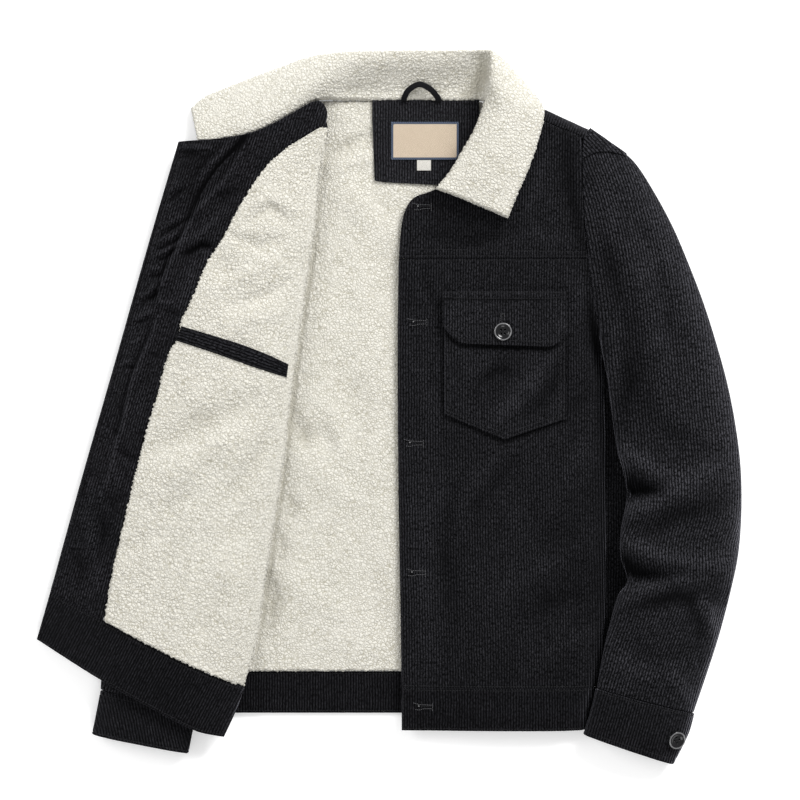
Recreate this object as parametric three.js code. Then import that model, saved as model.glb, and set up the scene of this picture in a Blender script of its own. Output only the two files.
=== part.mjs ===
// Sherpa lined corduroy jacket, lying on its back: the right front is opened out over its own sleeve,
// the left front lies closed over the back, and the left sleeve lies beside the body.
// Millimetres. +X points to the wearer's left sleeve, +Y to the collar, +Z up from the surface below.
import * as THREE from "three";

const { clamp, lerp, smoothstep } = THREE.MathUtils;

// Cloth thicknesses, with the turnings and interlining that each piece holds
const shellWall = 2.2;
const frontWall = 5;
const sleeveWall = 2.8;
const bandWall = 5;
const facingWall = 3.5;
const patchWall = 1.6;
const labelWall = 0.8;
const pileWall = 6.5;
const collarPile = 8;
const seamGap = 0.3;
const shellDrop = 1.4;
const seamInset = 0.25;
const lapRise = 0.8;

// Heights of the resting layers
const liningRest = 2.5;
const liningTop = liningRest + pileWall;
const facingDrop = 3;

// Buttons
const buttonRadius = 10;
const buttonThick = 3.4;
const buttonHoleRadius = 1;
const buttonHoleStep = 2.1;

// Rows of numbers become rows with named columns.
const table = (columns, ...rows) =>
  rows.map((row) => Object.fromEntries(columns.split(" ").map((name, i) => [name, row[i]])));

// One column of a table at a given key: smooth between the rows, level past the ends.
function read(rows, key, column, at) {
  const last = rows.length - 1;
  if (at <= rows[0][key]) return rows[0][column];
  if (at >= rows[last][key]) return rows[last][column];
  let i = 0;
  while (at > rows[i + 1][key]) i += 1;
  const slope = (k) => {
    const a = rows[Math.max(k - 1, 0)];
    const b = rows[Math.min(k + 1, last)];
    return (b[column] - a[column]) / (b[key] - a[key]);
  };
  const span = rows[i + 1][key] - rows[i][key];
  const t = (at - rows[i][key]) / span;
  const ease = t * t * (3 - 2 * t);
  const leave = t * (1 - t) * (1 - t) * slope(i);
  const arrive = t * t * (t - 1) * slope(i + 1);
  return lerp(rows[i][column], rows[i + 1][column], ease) + span * (leave + arrive);
}

// A smooth line through the rows of a table, with its length.
function line(rows) {
  let run = 0;
  const knots = rows.map((row, i) => {
    if (i) run += Math.hypot(row.x - rows[i - 1].x, row.y - rows[i - 1].y);
    return { x: row.x, y: row.y, run };
  });
  const at = (t) => ({ x: read(knots, "run", "x", t * run), y: read(knots, "run", "y", t * run) });
  return Object.assign(at, { reach: run });
}

const part = (curve, from, to) =>
  Object.assign((t) => curve(lerp(from, to, t)), { reach: curve.reach * Math.abs(to - from) });
const straight = (a, b) =>
  Object.assign((t) => ({ x: lerp(a.x, b.x, t), y: lerp(a.y, b.y, t) }), {
    reach: Math.hypot(b.x - a.x, b.y - a.y),
  });

// A cut piece between four boundary lines: lower and upper run with u, left and right run with v.
function cut(lower, upper, left, right, inset = seamInset) {
  const across = inset / Math.min(lower.reach, Math.max(upper.reach, 20));
  const along = inset / left.reach;
  return (uFull, vFull) => {
    const u = lerp(across, 1 - across, uFull);
    const v = lerp(along, 1 - along, vFull);
    const mix = (k) =>
      (1 - v) * lower(u)[k] + v * upper(u)[k] + (1 - u) * left(v)[k] + u * right(v)[k] -
      (1 - v) * ((1 - u) * lower(0)[k] + u * lower(1)[k]) -
      v * ((1 - u) * upper(0)[k] + u * upper(1)[k]);
    return { x: mix("x"), y: mix("y") };
  };
}

// Soft ridges and troughs: each runs from one point to another and fades at its ends.
const foldRows = (...rows) => table("x1 y1 x2 y2 width height", ...rows);
function folds(rows, x, y) {
  return rows.reduce((sum, f) => {
    const dx = f.x2 - f.x1;
    const dy = f.y2 - f.y1;
    const reach = Math.hypot(dx, dy);
    const along = ((x - f.x1) * dx + (y - f.y1) * dy) / reach;
    const away = ((x - f.x1) * dy - (y - f.y1) * dx) / reach;
    const past = Math.max(-along, along - reach, 0);
    return sum + f.height * Math.exp(-((away / f.width) ** 2) - (past / (1.3 * f.width)) ** 2);
  }, 0);
}

// Materials
const finish = (color, roughness, metalness = 0) =>
  new THREE.MeshStandardMaterial({ color, roughness, metalness });
const corduroy = finish(0x1c1c1e, 0.92);
const sherpa = finish(0xe9e6da, 0.97);
const blackTape = finish(0x121214, 0.8);
const labelCloth = finish(0xd9cbb2, 0.75);
const tabCloth = finish(0xe6e2da, 0.75);
const buttonPlastic = finish(0x17171a, 0.22);

const jacket = new THREE.Group();

// A closed solid from flat corner numbers; it is turned right side out if its volume is negative.
function solid(name, material, points, faces) {
  const corners = faces.flat().map((i) => new THREE.Vector3(...points[i]));
  let volume = 0;
  for (let i = 0; i < corners.length; i += 3)
    volume += corners[i].dot(new THREE.Vector3().crossVectors(corners[i + 1], corners[i + 2]));
  const geometry = new THREE.BufferGeometry();
  geometry.setAttribute("position", new THREE.Float32BufferAttribute(points.flat(), 3));
  geometry.setIndex(faces.flatMap(([a, b, c]) => (volume < 0 ? [a, c, b] : [a, b, c])));
  geometry.computeVertexNormals();
  const mesh = new THREE.Mesh(geometry, material.clone());
  mesh.name = name;
  jacket.add(mesh);
  return mesh;
}

// A cloth wall: place(u, v) gives x, y, and the top and bottom heights at each grid point.
function wall(name, material, columns, rows, place) {
  const points = [];
  const sheets = ["top", "bottom"];
  for (const side of sheets)
    for (let i = 0; i <= columns; i += 1)
      for (let j = 0; j <= rows; j += 1) {
        const p = place(i / columns, j / rows);
        points.push([p.x, p.y, p[side]]);
      }
  const top = (i, j) => i * (rows + 1) + j;
  const below = points.length / 2;
  const faces = [];
  const quad = (a, b, c, d) => faces.push([a, b, c], [a, c, d]);
  for (let i = 0; i < columns; i += 1)
    for (let j = 0; j < rows; j += 1) {
      const ring = [top(i, j), top(i + 1, j), top(i + 1, j + 1), top(i, j + 1)];
      quad(...ring);
      const [a, b, c, d] = ring.map((k) => k + below);
      quad(a, d, c, b);
    }
  const rim = [];
  for (let i = 0; i < columns; i += 1) rim.push(top(i, 0));
  for (let j = 0; j < rows; j += 1) rim.push(top(columns, j));
  for (let i = columns; i > 0; i -= 1) rim.push(top(i, rows));
  for (let j = rows; j > 0; j -= 1) rim.push(top(0, j));
  rim.forEach((a, k) => {
    const b = rim[(k + 1) % rim.length];
    quad(a + below, b + below, b, a);
  });
  return solid(name, material, points, faces);
}

// A cloth tube, open at both ends: place(t, turn, inward) gives a point. t runs along the tube,
// turn goes from 0 to 1 round the ring, and inward is 1 on the inside.
function tube(name, material, rings, around, place) {
  const points = [];
  for (const inward of [0, 1])
    for (let i = 0; i <= rings; i += 1)
      for (let j = 0; j < around; j += 1) points.push(place(i / rings, j / around, inward));
  const at = (inward, i, j) => inward * (rings + 1) * around + i * around + (j % around);
  const faces = [];
  const quad = (a, b, c, d) => faces.push([a, b, c], [a, c, d]);
  for (let j = 0; j < around; j += 1) {
    for (let i = 0; i < rings; i += 1) {
      quad(at(0, i, j), at(0, i + 1, j), at(0, i + 1, j + 1), at(0, i, j + 1));
      quad(at(1, i, j), at(1, i, j + 1), at(1, i + 1, j + 1), at(1, i + 1, j));
    }
    quad(at(0, 0, j), at(0, 0, j + 1), at(1, 0, j + 1), at(1, 0, j));
    quad(at(0, rings, j), at(1, rings, j), at(1, rings, j + 1), at(0, rings, j + 1));
  }
  return solid(name, material, points, faces);
}

// The closed left front
const armhole = line(
  table("x y", [232.6, 78.6], [229.4, 98.5], [223.9, 124.9], [219.5, 165.6], [215.6, 207.4],
    [214, 240.4], [213, 266.8], [212.5, 284.4], [214.5, 298.6], [221.6, 309.1]));
const sideEdge = table("y x", [-354.8, 218], [-337, 220.5], [-320, 225], [-307, 229], [-288, 232.6],
  [-265, 236], [-232.7, 239.2], [-166.7, 240.4], [-100.7, 240.4], [-34.7, 239.8], [14.9, 238.2],
  [47.9, 236.6], [78.6, 232.6], [98.5, 229.4], [124.9, 223.9], [165.6, 219.5], [207.4, 215.6],
  [240.4, 214], [298.6, 212.5]);
const frontEdge = table("y x", [-354.8, 14.4], [-307.5, 14.3], [-210.7, 12.9], [-100.7, 11],
  [9.4, 10.1], [119.4, 10.2], [165.6, 11.1], [240, 13]);
const hemSeamY = -307.5;
const frontHemY = -355;
const yokeSeamY = 165.3;
const neckToShoulder = table("x y", [11.1, 165.3], [12.7, 187], [15.4, 209], [20.8, 223.9],
  [29, 233], [46.8, 239.3], [64.4, 249.2], [82, 267.9], [98.5, 293.2], [108.4, 315.2],
  [111.7, 331.7]);
const shoulderSeam = table("x y", [111.7, 331.7], [144.7, 322.9], [172.2, 315.2], [188.7, 308],
  [205.2, 302], [212.2, 297.6]);
const shoulderOutline = table("x y", [113.5, 347], [144.7, 340], [172.2, 331], [192, 322],
  [203, 317], [217, 310.5]);
// Height of the front's outer face from its edge to its side, below and above the armhole
const frontSections = table("across body chest", [0, 15, 15], [0.12, 18.6, 17.5], [0.3, 23, 19.2],
  [0.5, 25.5, 20.8], [0.7, 26, 22], [0.86, 24.5, 23.2], [0.93, 20.5, 24], [0.975, 13, 24.6],
  [1, 5.6, 25]);
const frontFolds = foldRows([232, 10, 196, 84, 13, 2], [214, -30, 176, 40, 15, -1.6],
  [150, -60, 214, -150, 20, 1.6], [184, -236, 222, -292, 15, 1.8], [52, -216, 110, -276, 22, 1.2],
  [92, -60, 60, -130, 20, -1.2], [196, 250, 150, 190, 14, 1.6], [206, 150, 196, 100, 10, -1.8]);

const sideX = (y) => read(sideEdge, "y", "x", y);
const frontX = (y) => read(frontEdge, "y", "x", y);
function frontTop(x, y) {
  const across = clamp((x - frontX(y)) / (sideX(y) - frontX(y)), 0, 1);
  const chest = smoothstep(y, 50, 100);
  const body = read(frontSections, "across", "body", across);
  const upper = read(frontSections, "across", "chest", across);
  const calm = smoothstep(across, 0, 0.12) * (1 - smoothstep(across, 0.9, 1));
  return lerp(body, upper, chest) + calm * folds(frontFolds, x, y);
}

// The opened right front, with its inside up
const openEdge = table("y x", [-361.4, -418.8], [-254.7, -388.3], [-193.1, -370.7], [-87.5, -341.6],
  [18.2, -311.3], [123.8, -281.1], [229.4, -251.4], [294.2, -231.6], [340, -218]);
const openFold = table("y x", [-361.4, -181], [-333.9, -168.3], [-307.5, -158.4], [-291, -151.2],
  [-232.7, -140.8], [-188.7, -134.8], [-122.7, -124.9], [-56.7, -115], [10.5, -107.3],
  [52.3, -101.8], [108.4, -94.1], [157.9, -87.5], [185.4, -82], [222.8, -79.2], [251.4, -77.6],
  [272.2, -74.2], [293.2, -68.8], [311.9, -65.5], [328.4, -67.7], [339, -71]);
// Height of the opened front's pile from its edge to its fold
const openStations = table("across column", [0, "edge"], [0.12, "facing"], [0.33, "rise"],
  [0.6, "crown"], [0.86, "brow"], [0.95, "shoulder"], [1, "fold"]);
const openSections = table("y edge facing rise crown brow shoulder fold",
  [-361, 16, 23, 33, 37, 34, 27, 17.5], [-200, 16.5, 24, 34, 38, 35, 28.5, 18],
  [-50, 17, 25, 35, 38.5, 36, 29, 18], [110, 17.5, 26, 36.5, 39, 36, 29.5, 18.5],
  [230, 19, 28, 37, 39, 36, 30, 20], [300, 20, 30, 37, 38, 34, 30, 22],
  [340, 21, 30, 35, 35, 32, 28, 22]);
const openFolds = foldRows([-150, 305, -208, 220, 8, 2.6], [-208, 220, -251, 138, 8, 2.6],
  [-251, 138, -283, 27, 8, 1.8], [-177, 287, -229, 202, 11, -3.4], [-232, 186, -262, 118, 10, -2],
  [-190, 165, -168, 138, 20, -2.6], [-150, 120, -130, 30, 18, 1.5], [-210, -40, -170, -110, 24, -2],
  [-172, 20, -215, -60, 22, 1.6], [-165, -190, -190, -260, 20, 1.6],
  [-240, -150, -270, -210, 20, -1.6], [-345, -20, -322, -70, 10, 1.6], [-316, 66, -288, 30, 9, 1.8],
  [-250, -262, -200, -318, 24, 1.2]);

const openWall = pileWall + shellDrop + shellWall;
const openX = (y) => read(openEdge, "y", "x", y);
const foldX = (y) => read(openFold, "y", "x", y);
function openTop(x, y) {
  const across = clamp((x - openX(y)) / (foldX(y) - openX(y)), 0, 1);
  const section = openStations.map(({ across: at, column }) => ({
    at,
    z: read(openSections, "y", column, y),
  }));
  const calm = smoothstep(across, 0, 0.1) * (1 - smoothstep(across, 0.9, 1));
  return read(section, "at", "z", across) + calm * folds(openFolds, x, y);
}

// Back: the shell lies on the surface, the hem band below it and the pile lining on it
const backHemTopY = -291;
const backHemY = -337;
const backFolds = foldRows([-50, 235, 0, 190, 16, 2.2], [-60, 270, -30, 230, 12, 1.4],
  [-88, -60, -62, -90, 16, 1.8], [-70, 100, -40, 40, 20, 1.2], [-108, -190, -60, -225, 18, 1.5],
  [-20, -60, 0, -160, 20, 1]);
const backTop = (x, y) => liningTop + folds(backFolds, x, y);
const backLeft = table("x y", [-190, -291], [-186, -230], [-178, -150], [-170, -60], [-162, 20],
  [-152, 90], [-141, 160], [-130, 215], [-118, 262], [-104, 300], [-76, 340.5]);
const backRightX = (y) => sideX(y) + (y < 70 ? 22 : -1.2);
const shapeOf = (points) => new THREE.Shape(points.map(({ x, y }) => new THREE.Vector2(x, y)));
const sampled = (curve, steps) => Array.from({ length: steps + 1 }, (_, i) => curve(i / steps));

function slab(name, material, outline, thick, z) {
  const geometry = new THREE.ExtrudeGeometry(shapeOf(outline), { depth: thick, bevelEnabled: false });
  const mesh = new THREE.Mesh(geometry, material.clone());
  mesh.name = name;
  mesh.position.z = z;
  jacket.add(mesh);
  return mesh;
}

function backPanel() {
  const right = [-290.6, -250, -180, -100, -20, 60, 82, 110, 140, 180, 220, 260, 285].map((y) => ({
    x: backRightX(y),
    y,
  }));
  const neck = table("x y", [214, 296], [204, 306], [172, 318.5], [144, 328], [112, 334.5],
    [60, 340], [0, 340], [-40, 340]);
  const left = sampled(line(backLeft), 10).reverse();
  slab("back_panel", corduroy, [...left.map((p) => ({ x: p.x, y: Math.max(p.y, -290.6) })), ...right,
    ...neck],
    shellWall, 0);
}

function backLining() {
  const lowerRight = { x: 205, y: backHemTopY + 0.4 };
  const neckRight = { x: 100, y: neckTopY };
  const lower = straight({ x: -188, y: backHemTopY + 0.4 }, lowerRight);
  const upper = straight({ x: -76, y: neckTopY }, neckRight);
  const right = line(table("x y", [205, -290.6], [208, 60], [196, 120], [190, 250], [150, 300],
    [100, 340.5]));
  const piece = cut(lower, upper, line(backLeft.map(({ x, y }) => ({ x: x + 2, y }))), right);
  wall("back_lining", sherpa, 12, 18, (u, v) => {
    const p = piece(u ** 1.25, v);
    return { ...p, top: backTop(p.x, p.y), bottom: liningRest };
  });
}

function backHemBand() {
  const piece = cut(
    straight({ x: -184, y: backHemY }, { x: 214, y: backHemY }),
    straight({ x: -188, y: backHemTopY }, { x: 222, y: backHemTopY }),
    straight({ x: -184, y: backHemY }, { x: -188, y: backHemTopY }),
    straight({ x: 214, y: backHemY }, { x: 222, y: backHemTopY }));
  wall("back_hem_band", corduroy, 8, 2, (u, v) => ({ ...piece(u, v), top: bandWall, bottom: 0 }));
}

// The back yoke comes forward over the shoulder and rolls down to the surface.
function backYoke() {
  const outline = line(shoulderOutline);
  const seam = line(shoulderSeam);
  const piece = cut(seam, outline, straight(seam(0), outline(0)), straight(seam(1), outline(1)), 0.6);
  wall("back_yoke", corduroy, 9, 3, (u, v) => {
    const p = piece(u, v);
    const top = lerp(frontTop(p.x, p.y), 7, v ** 1.8);
    return { ...p, top, bottom: Math.max(top - frontWall, 0) };
  });
}

// Neck facing, label and hanging loop, all on the back lining
const neckTopY = 340.5;
const neckSeamY = 318.8;
const patchLeftX = -18;
const onLining = (x, y, rise) => backTop(x, y) + seamGap + rise;
function neckPieces() {
  const strip = cut(
    straight({ x: patchLeftX, y: neckSeamY }, { x: 100, y: neckSeamY }),
    straight({ x: patchLeftX, y: neckTopY }, { x: 100, y: neckTopY }),
    straight({ x: patchLeftX, y: neckSeamY }, { x: patchLeftX, y: neckTopY }),
    straight({ x: 100, y: neckSeamY }, { x: 100, y: neckTopY }));
  const onPile = (piece, rise, thick) => (u, v) => {
    const p = piece(u, v);
    return { ...p, top: onLining(p.x, p.y, rise + thick), bottom: onLining(p.x, p.y, rise) };
  };
  wall("neck_strip", corduroy, 6, 1, onPile(strip, 0.2, patchWall + 0.3));
  const foot = line(table("x y", [-15.4, 251.6], [-5, 249.8], [30, 248], [62, 247], [86, 250]));
  const patch = cut(foot, straight({ x: patchLeftX, y: neckSeamY }, { x: 98, y: neckSeamY }),
    straight(foot(0), { x: patchLeftX, y: neckSeamY }), straight(foot(1), { x: 98, y: neckSeamY }));
  wall("neck_patch", corduroy, 6, 4, onPile(patch, 0.2, patchWall));
  const box = (x0, y0, x1, y1) => cut(straight({ x: x0, y: y0 }, { x: x1, y: y0 }),
    straight({ x: x0, y: y1 }, { x: x1, y: y1 }), straight({ x: x0, y: y0 }, { x: x0, y: y1 }),
    straight({ x: x1, y: y0 }, { x: x1, y: y1 }), 0.01);
  const onPatch = patchWall + 0.5 + seamGap;
  wall("neck_label", labelCloth, 5, 3, onPile(box(2.8, 274.5, 77.6, 316.2), onPatch, labelWall));
  wall("size_tab", tabCloth, 2, 1, onPile(box(31.4, 262.6, 46.8, 274), onPatch, labelWall * 0.7));
}

function hangingLoop() {
  const spine = new THREE.CatmullRomCurve3(table("x y z", [17.5, 334, 13.2], [17.8, 340, 15.5],
    [22, 350, 20], [32.5, 356.5, 22], [45, 350, 20.5], [52, 340, 15.8], [53.5, 334, 13.2])
    .map(({ x, y, z }) => new THREE.Vector3(x, y, z)));
  const halfWidth = 3;
  const halfThick = 1.2;
  const section = new THREE.Shape();
  section.absellipse(0, 0, halfWidth, halfThick, 0, 2 * Math.PI);
  const frames = { steps: 16, depth: 1, curveSegments: 4, extrudePath: spine, bevelEnabled: false };
  const mesh = new THREE.Mesh(new THREE.ExtrudeGeometry(section, frames), blackTape.clone());
  mesh.name = "hanging_loop";
  jacket.add(mesh);
}

// Left front: body, yoke, hem band, pocket, flap
const frontSide = (y0, y1) => line(Array.from({ length: 13 }, (_, i) => {
  const y = lerp(y0, y1, i / 12);
  return { x: sideX(y) - (y > 78 ? 0.8 : 0), y };
}));
const frontOpening = (y0, y1) => line(Array.from({ length: 7 }, (_, i) => {
  const y = lerp(y0, y1, i / 6);
  return { x: frontX(y), y };
}));
// Columns crowd towards the side, where the front rolls under.
const towardsSide = (u) => u + 0.09 * Math.sin(Math.PI * u) * u;

function leftFront() {
  const ends = (y) => straight({ x: frontX(y), y }, { x: sideX(y) - (y > 78 ? 0.8 : 0), y });
  const onFront = (piece, rise) => (u, v) => {
    const p = piece(towardsSide(u), v);
    const top = frontTop(p.x, p.y) + rise;
    const thick = lerp(frontWall, 3.4, smoothstep(towardsSide(u), 0.93, 1));
    return { ...p, top, bottom: top - thick };
  };
  const main = cut(ends(hemSeamY), ends(yokeSeamY), frontOpening(hemSeamY, yokeSeamY),
    frontSide(hemSeamY, yokeSeamY));
  wall("left_front", corduroy, 15, 20, onFront(main, 0));
  const band = cut(ends(frontHemY), ends(hemSeamY), frontOpening(frontHemY, hemSeamY),
    frontSide(frontHemY, hemSeamY));
  wall("left_front_hem_band", corduroy, 15, 2, (u, v) => {
    const p = onFront(band, 0.5)(u, v);
    const dip = 4 * (1 - smoothstep(v, 0, 0.5)) * smoothstep(p.top, 14, 22);
    return { ...p, top: p.top - dip, bottom: p.bottom - dip };
  });
  const neck = line(neckToShoulder);
  const seam = line(shoulderSeam);
  const yokeSide = line(table("x y", [219.5, 165.3], [215.6, 207.4], [214, 240.4], [213, 266.8],
    [212.2, 297.6])
    .map(({ x, y }) => ({ x: x - 0.8, y })));
  const yoke = cut(ends(yokeSeamY), seam, neck, yokeSide);
  wall("left_front_yoke", corduroy, 11, 9, (u, v) => {
    const p = yoke(u, v);
    const top = frontTop(p.x, p.y) + lapRise;
    return { ...p, top, bottom: top - frontWall };
  });
}

const pocketTopY = 127;
const pocketRise = 0.9;
const pocketWall = 2.4;
function chestPocket() {
  const left = 61.1;
  const right = 194.7;
  const foot = line(table("x y", [61.1, -6.1], [94, -20], [127.5, -34.1], [161, -22.5],
    [194.7, -11.6]));
  const body = cut(foot, straight({ x: left, y: pocketTopY }, { x: right, y: pocketTopY }),
    straight({ x: left, y: -6.1 }, { x: left, y: pocketTopY }),
    straight({ x: right, y: -11.6 }, { x: right, y: pocketTopY }));
  const puff = (u, v) => Math.sin(Math.PI * u) ** 0.7 * Math.sin(Math.PI * clamp(v, 0, 1)) ** 0.7;
  wall("chest_pocket", corduroy, 8, 8, (u, v) => {
    const p = body(u, v);
    const rest = frontTop(p.x, p.y) + pocketRise;
    return { ...p, top: rest + pocketWall + 1.6 * puff(u, v), bottom: rest };
  });
  const flapFoot = line(table("x y", [60, 88], [64.5, 77.5], [74, 71.2], [100, 69], [127.1, 68.2],
    [155, 68.6], [180, 70], [189.8, 77.2], [194.6, 88]));
  const head = 128.8;
  const flap = cut(flapFoot, straight({ x: 59.4, y: head }, { x: 195.2, y: head }),
    straight(flapFoot(0), { x: 59.4, y: head }), straight(flapFoot(1), { x: 195.2, y: head }));
  wall("pocket_flap", corduroy, 10, 4, (u, v) => {
    const p = flap(u, v);
    const pocketV = clamp((p.y + 34.1) / (pocketTopY + 34.1), 0, 1);
    const pocketU = clamp((p.x - left) / (right - left), 0, 1);
    const bottom = frontTop(p.x, p.y) + pocketRise + pocketWall + 0.9 + 1.6 * puff(pocketU, pocketV);
    return { ...p, top: bottom + 2.4 + 0.8 * Math.sin(Math.PI * v), bottom };
  });
}

// Opened right front: shell below, then facing, hem band, pile lining and the inner pocket's welt
const openHem = line(table("x y", [-388.3, -254.7], [-321.2, -294.2], [-265.1, -325.1],
  [-211.8, -353.1], [-181, -361.4]));
const openHemSeam = line(table("x y", [-373.4, -202.5], [-313, -232.7], [-265.1, -258],
  [-208.9, -285.5], [-158.4, -306.9]));
const facingLine = line(table("x y", [-313, -232.7], [-303.1, -175.5], [-286.6, -105.1],
  [-269, -34.7], [-253.6, 18.2], [-238.2, 71], [-222.8, 106.2], [-199.7, 159], [-183.2, 185.4],
  [-161.8, 224.4], [-135.1, 263.7], [-114.1, 283.2], [-92, 298], [-72.1, 309.5]));
const openNeck = line(table("x y", [-231.6, 294.2], [-191.3, 295.4], [-149.2, 302], [-114.1, 318.5],
  [-86.4, 335], [-77, 338.4]));
const openSide = (y0, y1, shift) => line(Array.from({ length: 13 }, (_, i) => {
  const y = lerp(y0, y1, i / 12);
  return { x: foldX(y) + shift, y };
}));
const placketSide = (y0, y1) => line(Array.from({ length: 5 }, (_, i) => {
  const y = lerp(y0, y1, i / 4);
  return { x: openX(y), y };
}));

const openRows = 20;
const facingColumns = 5;
const liningColumns = 12;
const facingShare = 0.297;
function rightFront() {
  const facing = cut(part(openHemSeam, 0, facingShare), openNeck, placketSide(-202.5, 294.2),
    facingLine, 0.4);
  const lining = cut(part(openHemSeam, facingShare, 1), straight({ x: -72.1, y: 309.5 },
    { x: -66, y: 308 }),
    facingLine, openSide(-306.9, 308, 0), 0.4);
  wall("right_front_facing", corduroy, facingColumns, openRows, (u, v) => {
    const p = facing(u, v);
    const top = openTop(p.x, p.y) - facingDrop;
    return { ...p, top, bottom: top - facingWall };
  });
  wall("right_front_lining", sherpa, liningColumns, openRows, (u, v) => {
    const p = lining(towardsSide(u), v);
    const top = openTop(p.x, p.y);
    return { ...p, top, bottom: top - pileWall };
  });
  // The shell runs behind both, on every second row of their points, and stops short of the fold.
  const shellColumns = facingColumns + liningColumns - 1;
  wall("right_front_shell", corduroy, shellColumns, openRows / 2, (u, v) => {
    const column = Math.round(u * shellColumns);
    const hemClear = 3 * (1 - v) ** 8;
    const p = column <= facingColumns
      ? facing(column / facingColumns, v)
      : lining(towardsSide((column - facingColumns) / liningColumns), v);
    const top = openTop(p.x, p.y) - pileWall - shellDrop;
    return { x: p.x, y: p.y + hemClear, top, bottom: top - shellWall };
  });
  const band = cut(openHem, openHemSeam, straight(openHem(0), openHemSeam(0)),
    line(table("x y", [-181, -361.4], [-168.3, -333.9], [-158.4, -306.9])), 0.3);
  wall("right_front_hem_band", corduroy, 12, 3, (u, v) => {
    const p = band(u, v);
    const top = openTop(p.x, p.y) - facingDrop;
    return { ...p, top, bottom: top - bandWall - 0.8 };
  });
}

const weltUpper = line(table("x y", [-226, 90], [-184.3, 77.6], [-157.9, 69.2], [-128.2, 57.4],
  [-109.5, 48.5]));
const weltLower = line(table("x y", [-232.4, 74.4], [-188.7, 60], [-153.5, 47.3], [-128.2, 39.1],
  [-111.5, 34]));
function innerWelt() {
  const welt = cut(weltLower, weltUpper, straight(weltLower(0), weltUpper(0)),
    straight(weltLower(1), weltUpper(1)));
  wall("inner_pocket_welt", corduroy, 9, 2, (u, v) => {
    const p = welt(u, v);
    const bottom = openTop(p.x, p.y) + 1;
    return { ...p, top: bottom + 1.8, bottom };
  });
}

// The rest of the opened side, folded in under the right front where nothing of it shows
function sideFold() {
  const left = line(table("x y", [-196, -345], [-194, -290], [-188, -200], [-180, -128], [-173, -60],
    [-165, 10], [-155, 78], [-144, 146], [-133, 206], [-124, 252], [-114, 274]));
  const right = line(table("x y", [-188, -345], [-170, -290], [-152, -200], [-139.5, -128],
    [-130, -60], [-121.5, 10], [-111.5, 78], [-102, 146], [-94.5, 206], [-93, 252], [-92, 274]));
  const piece = cut(straight(left(0), right(0)), straight(left(1), right(1)), left, right);
  wall("side_fold", corduroy, 4, 10, (u, v) => {
    const p = piece(u, v);
    return { ...p, top: openTop(p.x, p.y) - openWall - 2.1, bottom: backTop(p.x, p.y) + 0.6 };
  });
}

// Collar: each section runs from the neck line out to the free edge, with its heights on the way
const collarSections = table("neckX neckY edgeX edgeY seam low mid high edge",
  [-210.5, 295.2, -219, 332, 22, 20, 17, 13, 10.4],
  [-191, 295.6, -201.5, 346, 25, 23, 19.5, 14.5, 10.6],
  [-158, 300.6, -163, 361.4, 28, 28, 25, 19.5, 13], [-128, 312, -127, 374.5, 29, 31, 29, 24, 17],
  [-99.5, 327.8, -92, 386, 26, 31, 31.5, 28, 22], [-76.5, 340.4, -59, 391.4, 21, 27, 31, 31, 27],
  [-48, 340.9, -29, 392.6, 14, 17, 24, 31, 31], [-18, 340.6, 1.6, 392.8, 13.2, 15, 21.5, 31, 33],
  [24, 340.8, 34.6, 392.8, 13.2, 14.6, 20.5, 30.5, 34],
  [67.6, 340.6, 70, 392.8, 13.4, 14.8, 20.5, 30.5, 35], [92, 340.4, 94, 392.6, 14, 15, 19, 28.5, 37],
  [101, 340.6, 107, 392.4, 16, 17, 20, 29, 39], [104.6, 338.8, 117, 390.2, 26, 34, 42, 43.5, 38],
  [103, 333.6, 142, 366, 33, 40, 45.5, 42, 35], [99.4, 321.6, 169.6, 330, 35, 42, 46, 43, 37],
  [89.4, 299.6, 166, 299, 35, 41.5, 45, 42, 37], [78.6, 281, 157, 270, 34.5, 40, 44, 41.5, 36.5],
  [66.8, 261.4, 145, 242, 34, 38.5, 42, 40, 36], [50.5, 241.8, 131, 208, 33.5, 36, 38, 37, 35]);
const collarSteps = table("out column", [0, "seam"], [0.18, "low"], [0.42, "mid"], [0.75, "high"],
  [1, "edge"]);
collarSections.forEach((row, i) => Object.assign(row, { i }));
function collarAt(u, v) {
  const i = u * (collarSections.length - 1);
  const column = (name) => read(collarSections, "i", name, i);
  const heights = collarSteps.map(({ out, column: name }) => ({ out, z: column(name) }));
  const x = lerp(column("neckX"), column("edgeX"), v);
  const y = lerp(column("neckY"), column("edgeY"), v);
  return { x, y, top: read(heights, "out", "z", v) };
}
const underCollar = 1.6;
const collarColumns = 30;
const collarRows = 6;
function collar() {
  wall("collar_pile", sherpa, collarColumns, collarRows, (u, v) => {
    const p = collarAt(u, v);
    return { ...p, bottom: p.top - collarPile };
  });
  wall("under_collar", corduroy, collarColumns, collarRows, (u, v) => {
    const p = collarAt(u, v);
    const top = p.top - collarPile - seamGap;
    return { ...p, top, bottom: Math.max(top - underCollar, 0) };
  });
}

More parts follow.
